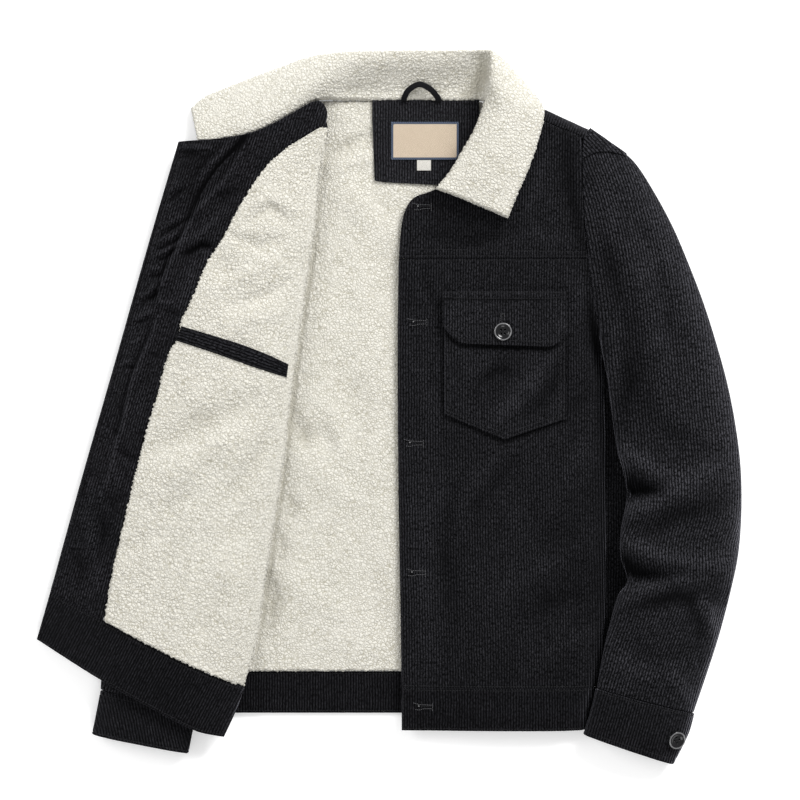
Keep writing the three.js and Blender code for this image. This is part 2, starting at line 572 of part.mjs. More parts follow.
// Sleeves: each ring runs from its inner to its outer edge; bow carries the armhole's curve into it
const leftRings = table("innerX innerY outerX outerY bow top", [232.7, 78.6, 221.7, 309.1, 1, 27],
  [237, 53.4, 243.7, 293.2, 0.8, 32], [241.5, 30.3, 270.1, 272.3, 0.55, 36],
  [243.7, 9.4, 293.2, 237.1, 0.3, 38], [246.4, -12.7, 314.1, 197.5, 0.1, 39.5],
  [249.2, -32.5, 331.7, 155.7, 0, 40.5], [252.5, -51.2, 347.1, 115, 0, 41],
  [257.4, -67.7, 360.3, 73.2, 0, 41.5], [261.8, -89.7, 372.4, 29.2, 0, 42],
  [260.2, -107.3, 381.2, -14.9, 0, 42.5], [255.2, -133.7, 387.2, -62.2, 0, 43],
  [254.7, -162.3, 388.3, -111.7, 0, 43], [262.4, -188.7, 385, -159, 0, 42],
  [251.9, -206.3, 376.8, -199.7, 0, 41], [242.6, -239.3, 364.7, -247, 0, 39],
  [235.4, -272.3, 350.9, -291, 0, 36], [229.4, -307.5, 336.1, -335, 0, 33]);
const leftCuffRings = table("innerX innerY outerX outerY bow top",
  [228.6, -307.9, 336.6, -335.8, 0, 35], [222.5, -333, 330.5, -358, 0, 34],
  [214.8, -358.8, 313.8, -392.2, 0, 31]);
const rightRings = table("innerX innerY outerX outerY bow top",
  [-211.2, -330.9, -317.9, -309.7, 0, 25], [-199.7, -271.2, -314.1, -254.7, 0, 25.5],
  [-193.1, -199.7, -308.6, -188.7, 0, 26.5], [-185.4, -128.2, -299.8, -122.7, 0, 27],
  [-178.8, -58.9, -290, -56.7, 0, 27.5], [-171.1, 9.4, -278, 9.4, 0, 27.5],
  [-161.2, 77.6, -261, 75.4, 0, 27.5], [-150.2, 145.8, -243, 141.4, 0, 27],
  [-139.2, 207.4, -226, 201.9, 0, 27], [-130.4, 253.6, -209, 245.9, 0, 26]);
const rightCuffRings = table("innerX innerY outerX outerY bow top",
  [-220.6, -380.1, -327.2, -359.2, 0, 25.5], [-211.1, -331.7, -317.8, -310.8, 0, 27]);
for (const rows of [leftRings, leftCuffRings, rightRings, rightCuffRings])
  rows.forEach((row, i) => Object.assign(row, { i }));

const innerHip = 0.58;
const outerHip = 0.42;
const sleeveFolds = foldRows([262, -98, 304, -86, 11, -13], [264, -192, 300, -184, 10, -12],
  [262, -70, 300, -56, 12, 3], [258, -122, 312, -98, 10, 4], [256, -214, 318, -196, 11, 4],
  [300, -86, 372, -124, 16, 3], [300, -184, 366, -206, 18, -4.5], [300, -148, 378, -172, 14, 3.5],
  [270, -232, 340, -226, 14, 2.5], [256, -262, 330, -272, 16, -2], [238, 24, 262, 92, 12, -5],
  [244, 14, 284, 60, 12, 4], [262, 250, 300, 120, 22, 1.8], [330, 60, 352, -30, 18, -1.8]);
const noFolds = foldRows();

// A point of a sleeve: ring number, turn round it, and how far inside the outer face it lies
function sleevePoint(rows, ring, turn, inside, grow, creases) {
  const column = (name) => read(rows, "i", name, ring);
  const angle = 2 * Math.PI * turn;
  const c = Math.cos(angle);
  const s = Math.sin(angle);
  const halfWidth = Math.hypot(column("outerX") - column("innerX"),
    column("outerY") - column("innerY")) / 2;
  const top = column("top");
  const hip = top * (c < 0 ? lerp(0.5, innerHip, -c) : lerp(0.5, outerHip, c));
  const across = (c * (halfWidth + grow - inside)) / halfWidth;
  const t = (1 + across) / 2;
  const first = rows[0];
  const bend = clamp(t, 0, 1);
  const bow = column("bow");
  const hole = armhole(bend);
  const x = lerp(column("innerX"), column("outerX"), t) + bow * (hole.x - lerp(first.innerX,
    first.outerX, bend));
  const y = lerp(column("innerY"), column("outerY"), t) + bow * (hole.y - lerp(first.innerY,
    first.outerY, bend));
  const onBack = rows === leftRings || rows === leftCuffRings;
  const rest = onBack ? 2.8 * (1 - smoothstep(c, -0.35, 0.05)) : 0;
  const roof = onBack ? 100 : openTop(x, y) - openWall - 2.2;
  if (s >= 0) {
    const crown = Math.min(hip + (top - hip) * s ** 0.85, roof);
    const crease = folds(creases, x, y) * smoothstep(s, 0.15, 0.6);
    return [x, y, Math.max(crown + crease + (grow - inside) * s, rest + inside + 6 * s)];
  }
  const base = Math.min(hip, roof) * (1 - 1.28 * (-s) ** 0.8);
  return [x, y, Math.max(base - (grow - inside) * -s, rest + inside)];
}

function sleeves() {
  const make = (name, rows, rings, around, wallThick, grow, creases) =>
    tube(name, corduroy, rings, around, (t, turn, inward) =>
      sleevePoint(rows, t * (rows.length - 1), turn, inward * wallThick, grow, creases));
  make("left_sleeve", leftRings, 24, 20, sleeveWall, 0, sleeveFolds);
  make("left_cuff", leftCuffRings, 3, 20, bandWall - 1, 0.3, noFolds);
  make("right_sleeve", rightRings, 9, 16, sleeveWall, 0, noFolds);
  make("right_cuff", rightCuffRings, 2, 16, bandWall - 1, 0, noFolds);
  wall("left_sleeve_cap", corduroy, 5, 5, (u, v) => {
    const ring = lerp(0.03, 1.7, u);
    const turn = lerp(lerp(0.13, 0.035, u), -0.005, v);
    const [x, y, z] = sleevePoint(leftRings, ring, turn, 0, lerp(0.4, 1.2, v), sleeveFolds);
    return { x, y, top: z + 2.4, bottom: z + 0.8 };
  });
}

// Four-hole buttons, each set on its cloth with its face along the given direction
function button(name, seat, facing) {
  const circle = (cx, cy, radius, sides) => Array.from({ length: sides }, (_, i) => {
    const angle = (2 * Math.PI * i) / sides;
    return new THREE.Vector2(cx + radius * Math.cos(angle), cy + radius * Math.sin(angle));
  });
  const face = new THREE.Shape(circle(0, 0, buttonRadius, 24));
  for (const sx of [-1, 1])
    for (const sy of [-1, 1])
      face.holes.push(new THREE.Path(circle(sx * buttonHoleStep, sy * buttonHoleStep, buttonHoleRadius,
        6)));
  const geometry = new THREE.ExtrudeGeometry(face, { depth: buttonThick, bevelEnabled: false });
  const mesh = new THREE.Mesh(geometry, buttonPlastic.clone());
  mesh.name = name;
  mesh.position.copy(seat);
  mesh.quaternion.setFromUnitVectors(new THREE.Vector3(0, 0, 1), facing);
  jacket.add(mesh);
}

const buttonGap = 0.8;
const placketInset = 17;
const placketButtonYs = [-228, -112, 22, 148, 250];
const pocketButtonAt = { x: 125.4, y: 84.2 };
function buttons() {
  const { x: px, y: py } = pocketButtonAt;
  button("pocket_button", new THREE.Vector3(px, py, frontTop(px, py) + 9.6),
    new THREE.Vector3(0, 0, 1));
  const onCuff = (ring, turn) => new THREE.Vector3(...sleevePoint(leftCuffRings, ring, turn, 0, 0.3,
    noFolds));
  const seat = onCuff(1.25, 0.11);
  const along = onCuff(1.45, 0.11).sub(onCuff(1.05, 0.11));
  const facing = new THREE.Vector3().crossVectors(along, onCuff(1.25, 0.15).sub(onCuff(1.25,
    0.07))).normalize();
  if (facing.z < 0) facing.negate();
  button("cuff_button", seat.addScaledVector(facing, buttonGap), facing);
  placketButtonYs.forEach((y, i) => {
    const x = openX(y) + placketInset;
    const depth = i ? openWall : facingDrop + bandWall + 0.8;
    const cloth = (cx, cy) => openTop(cx, cy) - depth;
    const riseX = cloth(x + buttonRadius, y) - cloth(x - buttonRadius, y);
    const riseY = cloth(x, y + buttonRadius) - cloth(x, y - buttonRadius);
    const down = new THREE.Vector3(riseX, riseY, -2 * buttonRadius).normalize();
    // The face that meets the cloth drops until its whole rim is clear.
    const planeAt = (cx, cy) => cloth(x,
      y) + ((cx - x) * riseX + (cy - y) * riseY) / (2 * buttonRadius);
    const rim = sampled((t) => ({
      x: x + buttonRadius * Math.cos(2 * Math.PI * t),
      y: y + buttonRadius * Math.sin(2 * Math.PI * t),
    }), 16);
    const drop = Math.max(...rim.map((q) => planeAt(q.x, q.y) - cloth(q.x, q.y)), 0) + buttonGap;
    button("front_button_" + (i + 1), new THREE.Vector3(x, y, cloth(x, y) - drop), down);
  });
}

backPanel();
backLining();
backHemBand();
backYoke();
neckPieces();
hangingLoop();
leftFront();
chestPocket();
rightFront();
innerWelt();
sideFold();
collar();
sleeves();
buttons();

export default jacket;
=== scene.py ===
# Sherpa lined corduroy jacket, laid flat with its right front opened out.
# Sizes are in millimetres up to the point where a mesh is made.
import math

import bpy
import numpy as np
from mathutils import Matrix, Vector


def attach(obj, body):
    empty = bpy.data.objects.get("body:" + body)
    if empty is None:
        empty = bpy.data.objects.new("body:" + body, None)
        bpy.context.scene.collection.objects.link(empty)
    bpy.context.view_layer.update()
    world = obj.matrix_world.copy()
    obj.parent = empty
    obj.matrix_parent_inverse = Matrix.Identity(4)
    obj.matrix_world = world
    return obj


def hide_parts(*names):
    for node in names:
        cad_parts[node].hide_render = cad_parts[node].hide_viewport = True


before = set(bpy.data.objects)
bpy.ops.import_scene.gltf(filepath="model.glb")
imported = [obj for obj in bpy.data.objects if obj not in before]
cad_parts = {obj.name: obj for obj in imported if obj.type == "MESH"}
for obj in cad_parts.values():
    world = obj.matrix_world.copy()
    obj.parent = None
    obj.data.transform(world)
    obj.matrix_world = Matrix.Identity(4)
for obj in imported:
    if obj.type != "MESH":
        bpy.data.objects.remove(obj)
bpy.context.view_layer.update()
mm = 0.001
rng = np.random.default_rng(7)


# Tables and curves

def table(columns, *rows):
    names = columns.split()
    return {name: np.array([row[i] for row in rows], float) for i, name in enumerate(names)}


# Smooth through the knots, level past the ends; values may be one column or one per point
def smooth(knots, values, at):
    at = np.clip(np.asarray(at, float), knots[0], knots[-1])
    i = np.clip(np.searchsorted(knots, at, side="right") - 1, 0, len(knots) - 2)
    before, after = np.maximum(i - 1, 0), np.minimum(i + 2, len(knots) - 1)

    def pick(j):
        return values[j] if values.ndim == 1 else np.take_along_axis(values, j[None], 0)[0]

    span = knots[i + 1] - knots[i]
    t = (at - knots[i]) / span
    leave = (pick(i + 1) - pick(before)) / (knots[i + 1] - knots[before])
    arrive = (pick(after) - pick(i)) / (knots[after] - knots[i])
    level = pick(i) + (pick(i + 1) - pick(i)) * t * t * (3 - 2 * t)
    return level + span * (t * (1 - t) ** 2 * leave + t * t * (t - 1) * arrive)


def read(rows, key, column, at):
    return smooth(rows[key], rows[column], at)


class Line:
    def __init__(self, x, y):
        self.x, self.y = np.asarray(x, float), np.asarray(y, float)
        self.run = np.concatenate([[0], np.cumsum(np.hypot(np.diff(self.x), np.diff(self.y)))])
        self.reach = self.run[-1]

    def __call__(self, t):
        at = np.asarray(t, float) * self.reach
        return np.stack([smooth(self.run, self.x, at), smooth(self.run, self.y, at)])

    def then(self, *knots):
        x, y = zip(*knots)
        return Line(np.append(self.x, x), np.append(self.y, y))


class Stretch:
    def __init__(self, curve, start, end):
        self.curve, self.start, self.end = curve, start, end
        self.reach = curve.reach * abs(end - start)

    def __call__(self, t):
        return self.curve(self.start + (self.end - self.start) * np.asarray(t, float))


def through(*knots):
    return Line(*zip(*knots))


def straight(a, b):
    return through(a, b)


def level(y, x0, x1):
    return straight((x0, y), (x1, y))


# A line along an edge whose x is given for each y
def alongEdge(edge, y0, y1, count=13):
    ys = np.linspace(y0, y1, count)
    return Line(edge(ys), ys)


def lerp(a, b, t):
    return a + (b - a) * t


def share(x, low, high):
    return np.clip((x - low) / (high - low), 0, 1)


def step(x, low, high):
    t = share(x, low, high)
    return t * t * (3 - 2 * t)


def bell(away, width):
    return np.exp(-(away / width) ** 2)


# Lengths along a chain of points
def runOf(points):
    return np.concatenate([[0], np.cumsum(np.linalg.norm(np.diff(points, axis=0), axis=1))])


# Sideways and upward directions of lines that run ahead
def sideAndUp(ahead):
    ahead = ahead / np.linalg.norm(ahead, axis=1, keepdims=True)
    side = np.cross(ahead, [0, 0, 1])
    side /= np.linalg.norm(side, axis=1, keepdims=True)
    return side, np.cross(side, ahead)


# The columns of a table between its rows, counted from 0
def rowAt(rows, i):
    count = np.arange(len(next(iter(rows.values()))), dtype=float)
    return {name: smooth(count, values, i) for name, values in rows.items()}


closedUp = 0.2  # seams close up to this share of their gap in the cut solids


# A cut piece between four lines: lower and upper run with u, left and right with v
def cut(lower, upper, left, right, inset=0.25):
    inset = inset * closedUp
    across = inset / min(lower.reach, max(upper.reach, 20))
    along = inset / left.reach
    corners = [np.asarray(curve(end))[:, None] for curve in (lower, upper) for end in (0.0, 1.0)]

    def place(uFull, vFull):
        u, v = lerp(across, 1 - across, uFull), lerp(along, 1 - along, vFull)
        sides = (1 - v) * lower(u) + v * upper(u) + (1 - u) * left(v) + u * right(v)
        at = [corner.reshape(2, *[1] * u.ndim) for corner in corners]
        low = (1 - u) * at[0] + u * at[1]
        high = (1 - u) * at[2] + u * at[3]
        return sides - (1 - v) * low - v * high

    return place


# A cut piece with straight ends between a lower and an upper line
def strip(lower, upper, inset=0.25):
    return cut(lower, upper, straight(lower(0), upper(0)), straight(lower(1), upper(1)), inset)


# The face and back of a cut piece that lies flat on the table
def flatOn(piece, wall):
    def surface(u, v):
        x, y = piece(u, v)
        return x, y, np.full_like(x, wall), np.zeros_like(x)

    return surface


def foldRows(*rows):
    return table("x1 y1 x2 y2 width height", *rows)


def folds(rows, x, y):
    total = np.zeros_like(x)
    for x1, y1, x2, y2, width, height in zip(*rows.values()):
        dx, dy = x2 - x1, y2 - y1
        reach = math.hypot(dx, dy)
        along = ((x - x1) * dx + (y - y1) * dy) / reach
        away = ((x - x1) * dy - (y - y1) * dx) / reach
        past = np.maximum(np.maximum(-along, along - reach), 0)
        total += height * np.exp(-((away / width) ** 2) - (past / (1.3 * width)) ** 2)
    return total


# Soft ridges and troughs along listed paths; each path has its width and height
def creased(paths, x, y):
    total = np.zeros_like(x)
    for width, height, *knots in paths:
        nearest, where = np.full_like(x, 1e9), np.zeros_like(x)
        legs = [math.dist(a, b) for a, b in zip(knots, knots[1:])]
        gone = 0.0
        for a, b, leg in zip(knots, knots[1:], legs):
            t = np.clip(((x - a[0]) * (b[0] - a[0]) + (y - a[1]) * (b[1] - a[1])) / leg ** 2, 0, 1)
            away = np.hypot(x - a[0] - t * (b[0] - a[0]), y - a[1] - t * (b[1] - a[1]))
            where = np.where(away < nearest, (gone + t * leg) / sum(legs), where)
            nearest = np.minimum(nearest, away)
            gone += leg
        fade = 0.35 + 0.65 * np.sin(np.pi * np.clip(where, 0.02, 0.98)) ** 0.6
        total += height * fade * bell(nearest, width)
    return total


# Cloth thicknesses and seam gaps, as in the cut solids
wallOf = {"shell": 2.2, "front": 5, "sleeve": 2.8, "band": 5, "facing": 3.5, "patch": 1.6, "label": 0.8,
          "pile": 6.5, "collarPile": 8, "underCollar": 1.6, "pocket": 2.4, "flap": 2.4}
seamGap = 0.3
lapRise = 0.8
shellDrop = 1.4
openWall = wallOf["pile"] + shellDrop + wallOf["shell"]
liningRest = 2.5
liningTop = liningRest + wallOf["pile"]
facingDrop = 3


# The closed left front, its sleeve hole and its heights from edge to side

armhole = through((232.6, 78.6), (229.4, 98.5), (223.9, 124.9), (219.5, 165.6), (215.6, 207.4),
                  (214, 240.4), (213, 266.8), (212.5, 284.4), (214.5, 298.6), (221.6, 309.1))
sideEdge = table("y x", (-354.8, 218), (-337, 220.5), (-320, 225), (-307, 229), (-288, 232.6),
    (-265, 236), (-232.7, 239.2), (-166.7, 240.4), (-100.7, 240.4), (-34.7, 239.8), (14.9, 238.2),
    (47.9, 236.6), (78.6, 232.6), (98.5, 229.4), (124.9, 223.9), (165.6, 219.5), (207.4, 215.6),
    (240.4, 214), (298.6, 212.5))
frontEdge = table("y x", (-354.8, 14.4), (-307.5, 14.3), (-210.7, 12.9), (-100.7, 11), (9.4, 10.1),
    (119.4, 10.2), (165.6, 11.1), (240, 13))
hemSeamY = -307.5
frontHemY = -355
yokeSeamY = 165.3
neckToShoulder = through((11.1, 165.3), (12.7, 187), (15.4, 209), (20.8, 223.9), (29, 233), (46.8, 239.3),
                         (64.4, 249.2), (82, 267.9), (98.5, 293.2), (108.4, 315.2), (111.7, 331.7))
shoulderSeam = through((111.7, 331.7), (144.7, 322.9), (172.2, 315.2), (188.7, 308), (205.2, 302),
                       (212.2, 297.6))
shoulderOutline = through((113.5, 347), (144.7, 340), (172.2, 331), (192, 322), (203, 317), (217, 310.5))
frontSections = table("across body chest", (0, 15, 15), (0.12, 18.6, 17.5), (0.3, 23, 19.2),
    (0.5, 25.5, 20.8), (0.7, 26, 22), (0.86, 24.5, 23.2), (0.93, 20.5, 24), (0.975, 13, 24.6),
    (1, 5.6, 25))
frontFolds = foldRows((232, 10, 196, 84, 13, 2), (214, -30, 176, 40, 15, -1.6),
    (150, -60, 214, -150, 20, 1.6), (184, -236, 222, -292, 15, 1.8), (52, -216, 110, -276, 22, 1.2),
    (92, -60, 60, -130, 20, -1.2), (196, 250, 150, 190, 14, 1.6), (206, 150, 196, 100, 10, -1.8))


def sideX(y):
    return read(sideEdge, "y", "x", y)


def frontX(y):
    return read(frontEdge, "y", "x", y)


def frontTop(x, y):
    across = share(x, frontX(y), sideX(y))
    body = read(frontSections, "across", "body", across)
    upper = read(frontSections, "across", "chest", across)
    calm = step(across, 0, 0.12) * (1 - step(across, 0.9, 1))
    return lerp(body, upper, step(y, 50, 100)) + calm * folds(frontFolds, x, y)


# The opened right front

openEdge = table("y x", (-361.4, -418.8), (-254.7, -388.3), (-193.1, -370.7), (-87.5, -341.6),
    (18.2, -311.3), (123.8, -281.1), (229.4, -251.4), (294.2, -231.6), (340, -218))
openFold = table("y x", (-361.4, -181), (-333.9, -168.3), (-307.5, -158.4), (-291, -151.2),
    (-232.7, -140.8), (-188.7, -134.8), (-122.7, -124.9), (-56.7, -115), (10.5, -107.3), (52.3, -101.8),
    (108.4, -94.1), (157.9, -87.5), (185.4, -82), (222.8, -79.2), (251.4, -77.6), (272.2, -74.2),
    (293.2, -68.8), (311.9, -65.5), (328.4, -67.7), (339, -71))
openAcross = np.array([0, 0.12, 0.33, 0.6, 0.86, 0.95, 1])
openColumns = ("edge", "facing", "rise", "crown", "brow", "shoulder", "fold")
openSections = table("y edge facing rise crown brow shoulder fold", (-361, 16, 23, 33, 37, 34, 27, 17.5),
    (-200, 16.5, 24, 34, 38, 35, 28.5, 18), (-50, 17, 25, 35, 38.5, 36, 29, 18),
    (110, 17.5, 26, 36.5, 39, 36, 29.5, 18.5), (230, 19, 28, 37, 39, 36, 30, 20),
    (300, 20, 30, 37, 38, 34, 30, 22), (340, 21, 30, 35, 35, 32, 28, 22))
openFolds = foldRows((-150, 305, -208, 220, 8, 2.6), (-208, 220, -251, 138, 8, 2.6),
    (-251, 138, -283, 27, 8, 1.8), (-177, 287, -229, 202, 11, -3.4), (-232, 186, -262, 118, 10, -2),
    (-190, 165, -168, 138, 20, -2.6), (-150, 120, -130, 30, 18, 1.5), (-210, -40, -170, -110, 24, -2),
    (-172, 20, -215, -60, 22, 1.6), (-165, -190, -190, -260, 20, 1.6),
    (-240, -150, -270, -210, 20, -1.6), (-345, -20, -322, -70, 10, 1.6), (-316, 66, -288, 30, 9, 1.8),
    (-250, -262, -200, -318, 24, 1.2))


def openX(y):
    return read(openEdge, "y", "x", y)


def foldX(y):
    return read(openFold, "y", "x", y)


# Knots of a path that runs beside an edge, at a distance in x
def beside(edge, away, *ys):
    return [(float(edge(y)) + away, y) for y in range(*ys)]


foldReach = (-290, 301, 59)


def openTop(x, y):
    x, y = np.broadcast_arrays(np.asarray(x, float), np.asarray(y, float))
    across = share(x, openX(y), foldX(y))
    section = np.stack([read(openSections, "y", column, y) for column in openColumns])
    calm = step(across, 0, 0.1) * (1 - step(across, 0.9, 1))
    return smooth(openAcross, section, across) + calm * folds(openFolds, x, y)


# The back

backFolds = foldRows((-50, 235, 0, 190, 16, 2.2), (-60, 270, -30, 230, 12, 1.4),
    (-88, -60, -62, -90, 16, 1.8), (-70, 100, -40, 40, 20, 1.2), (-108, -190, -60, -225, 18, 1.5),
    (-20, -60, 0, -160, 20, 1))
backLeft = table("x y", (-190, -291), (-186, -230), (-178, -150), (-170, -60), (-162, 20), (-152, 90),
    (-141, 160), (-130, 215), (-118, 262), (-104, 300), (-76, 340.5))
backHemTopY = -291
backHemY = -337
neckTopY = 340.5
neckSeamY = 318.8
patchLeftX = -18


def backTop(x, y):
    return liningTop + folds(backFolds, x, y)


def backRightX(y):
    return sideX(y) + np.where(y < 70, 25, 2.5)


# Collar sections and sleeve rings

collarSections = table("neckX neckY edgeX edgeY seam low mid high edge",
    (-210.5, 295.2, -219, 332, 22, 20, 17, 13, 10.4),
    (-191, 295.6, -201.5, 346, 25, 23, 19.5, 14.5, 10.6),
    (-158, 300.6, -163, 361.4, 28, 28, 25, 19.5, 13), (-128, 312, -127, 374.5, 29, 31, 29, 24, 17),
    (-99.5, 327.8, -92, 386, 26, 31, 31.5, 28, 22), (-76.5, 340.4, -59, 391.4, 21, 27, 31, 31, 27),
    (-48, 340.9, -29, 392.6, 14, 17, 24, 31, 31), (-18, 340.6, 1.6, 392.8, 13.2, 15, 21.5, 31, 33),
    (24, 340.8, 34.6, 392.8, 13.2, 14.6, 20.5, 30.5, 34),
    (67.6, 340.6, 70, 392.8, 13.4, 14.8, 20.5, 30.5, 35), (92, 340.4, 94, 392.6, 14, 15, 19, 28.5, 37),
    (101, 340.6, 107, 392.4, 16, 17, 20, 29, 39), (104.6, 338.8, 117, 390.2, 26, 34, 42, 43.5, 38),
    (103, 333.6, 142, 366, 33, 40, 45.5, 42, 35), (99.4, 321.6, 169.6, 330, 35, 42, 46, 43, 37),
    (89.4, 299.6, 166, 299, 35, 41.5, 45, 42, 37), (78.6, 281, 157, 270, 34.5, 40, 44, 41.5, 36.5),
    (66.8, 261.4, 145, 242, 34, 38.5, 42, 40, 36), (50.5, 241.8, 131, 208, 33.5, 36, 38, 37, 35))
collarOut = np.array([0, 0.18, 0.42, 0.75, 1])
collarColumns = ("seam", "low", "mid", "high", "edge")


def collarAt(u, v):
    i = u * (len(collarSections["seam"]) - 1)
    at = rowAt(collarSections, i)
    heights = np.stack([at[name] for name in collarColumns])
    return (lerp(at["neckX"], at["edgeX"], v), lerp(at["neckY"], at["edgeY"], v),
            smooth(collarOut, heights, v))


leftRings = table("innerX innerY outerX outerY bow top", (232.7, 78.6, 221.7, 309.1, 1, 27),
    (237, 53.4, 243.7, 293.2, 0.8, 32), (241.5, 30.3, 270.1, 272.3, 0.55, 36),
    (243.7, 9.4, 293.2, 237.1, 0.3, 38), (246.4, -12.7, 314.1, 197.5, 0.1, 39.5),
    (249.2, -32.5, 331.7, 155.7, 0, 40.5), (252.5, -51.2, 347.1, 115, 0, 41),
    (257.4, -67.7, 360.3, 73.2, 0, 41.5), (261.8, -89.7, 372.4, 29.2, 0, 42),
    (260.2, -107.3, 381.2, -14.9, 0, 42.5), (255.2, -133.7, 387.2, -62.2, 0, 43),
    (254.7, -162.3, 388.3, -111.7, 0, 43), (262.4, -188.7, 385, -159, 0, 42),
    (251.9, -206.3, 376.8, -199.7, 0, 41), (242.6, -239.3, 364.7, -247, 0, 39),
    (235.4, -272.3, 350.9, -291, 0, 36), (229.4, -307.5, 336.1, -335, 0, 33))
leftCuffRings = table("innerX innerY outerX outerY bow top", (228.6, -307.9, 336.6, -335.8, 0, 35),
    (222.5, -333, 330.5, -358, 0, 34), (214.8, -358.8, 313.8, -392.2, 0, 31))
rightRings = table("innerX innerY outerX outerY bow top", (-211.2, -330.9, -317.9, -309.7, 0, 25),
    (-199.7, -271.2, -314.1, -254.7, 0, 25.5), (-193.1, -199.7, -308.6, -188.7, 0, 26.5),
    (-185.4, -128.2, -299.8, -122.7, 0, 27), (-178.8, -58.9, -290, -56.7, 0, 27.5),
    (-171.1, 9.4, -278, 9.4, 0, 27.5), (-161.2, 77.6, -261, 75.4, 0, 27.5),
    (-150.2, 145.8, -243, 141.4, 0, 27), (-139.2, 207.4, -226, 201.9, 0, 27),
    (-130.4, 253.6, -209, 245.9, 0, 26))
rightCuffRings = table("innerX innerY outerX outerY bow top", (-220.6, -380.1, -327.2, -359.2, 0, 25.5),
    (-211.1, -331.7, -317.8, -310.8, 0, 27))
innerHip = 0.58
outerHip = 0.42
sleeveFolds = foldRows((262, -98, 304, -86, 11, -7), (264, -192, 300, -184, 10, -6.5),
    (262, -70, 300, -56, 12, 3), (258, -122, 312, -98, 10, 4), (256, -214, 318, -196, 11, 4),
    (300, -86, 372, -124, 16, 3), (300, -184, 366, -206, 18, -4.5), (300, -148, 378, -172, 14, 3.5),
    (270, -232, 340, -226, 14, 2.5), (256, -262, 330, -272, 16, -2), (238, 24, 262, 92, 12, -5),
    (244, 14, 284, 60, 12, 4), (262, 250, 300, 120, 22, 1.8), (330, 60, 352, -30, 18, -1.8))
noFolds = foldRows()

print("tables ready")


# Shader tools: a socket with operators, and a material that adds its nodes

class Socket:
    def __init__(self, look, link):
        self.look, self.link = look, link

    def __add__(self, other):
        return self.look.sum("ADD", self, other)

    def __sub__(self, other):
        return self.look.sum("SUBTRACT", self, other)

    def __rsub__(self, other):
        return self.look.sum("SUBTRACT", other, self)

    def __mul__(self, other):
        return self.look.sum("MULTIPLY", self, other)

    def __truediv__(self, other):
        return self.look.sum("DIVIDE", self, other)

    __radd__ = __add__
    __rmul__ = __mul__


class Look:
    def __init__(self, name):
        self.material = bpy.data.materials.new(name)
        self.material.use_nodes = True
        self.nodes, self.links = self.material.node_tree.nodes, self.material.node_tree.links
        self.nodes.clear()

    # Any node: its settings first, then the values or links of its sockets
    def add(self, kind, settings=None, values=None, output=0):
        node = self.nodes.new(kind)
        for key, value in (settings or {}).items():
            setattr(node, key, value)
        for key, value in (values or {}).items():
            if isinstance(value, Socket):
                self.links.new(value.link, node.inputs[key])
            else:
                node.inputs[key].default_value = value
        return Socket(self, node.outputs[output])

    def sum(self, operation, a, b=0.0, c=0.0):
        return self.add("ShaderNodeMath", {"operation": operation}, {0: a, 1: b, 2: c})

    def ease(self, value, low, high):
        return self.add("ShaderNodeMapRange", {"interpolation_type": "SMOOTHSTEP"},
                        {"Value": value, "From Min": low, "From Max": high})

    def mix(self, factor, a, b):
        return self.add("ShaderNodeMix", {"data_type": "RGBA"}, {0: factor, 6: a, 7: b}, 2)

    def attribute(self, name, output="Vector"):
        return self.add("ShaderNodeAttribute", {"attribute_name": name}, output=output)

    def noise(self, at, scale, detail=3.0, rough=0.55):
        return self.add("ShaderNodeTexNoise", None,
                        {"Vector": at, "Scale": scale, "Detail": detail, "Roughness": rough})

    def split(self, vector):
        node = self.add("ShaderNodeSeparateXYZ", None, {0: vector}).link.node
        return [Socket(self, output) for output in node.outputs]

    def join(self, x, y, z):
        return self.add("ShaderNodeCombineXYZ", None, {0: x, 1: y, 2: z})

    def bump(self, height, distance, strength=1.0):
        return self.add("ShaderNodeBump", None,
                        {"Height": height, "Distance": distance * mm, "Strength": strength})

    def finish(self, **sockets):
        values = {key.replace("_", " "): value for key, value in sockets.items()}
        shader = self.add("ShaderNodeBsdfPrincipled", None, values)
        self.addOutput(shader)
        return self.material

    def addOutput(self, shader):
        node = self.nodes.new("ShaderNodeOutputMaterial")
        self.links.new(shader.link, node.inputs["Surface"])


def grey(level, cool=0.0):
    return (level, level * (1 - cool * 0.04), level * (1 + cool), 1)
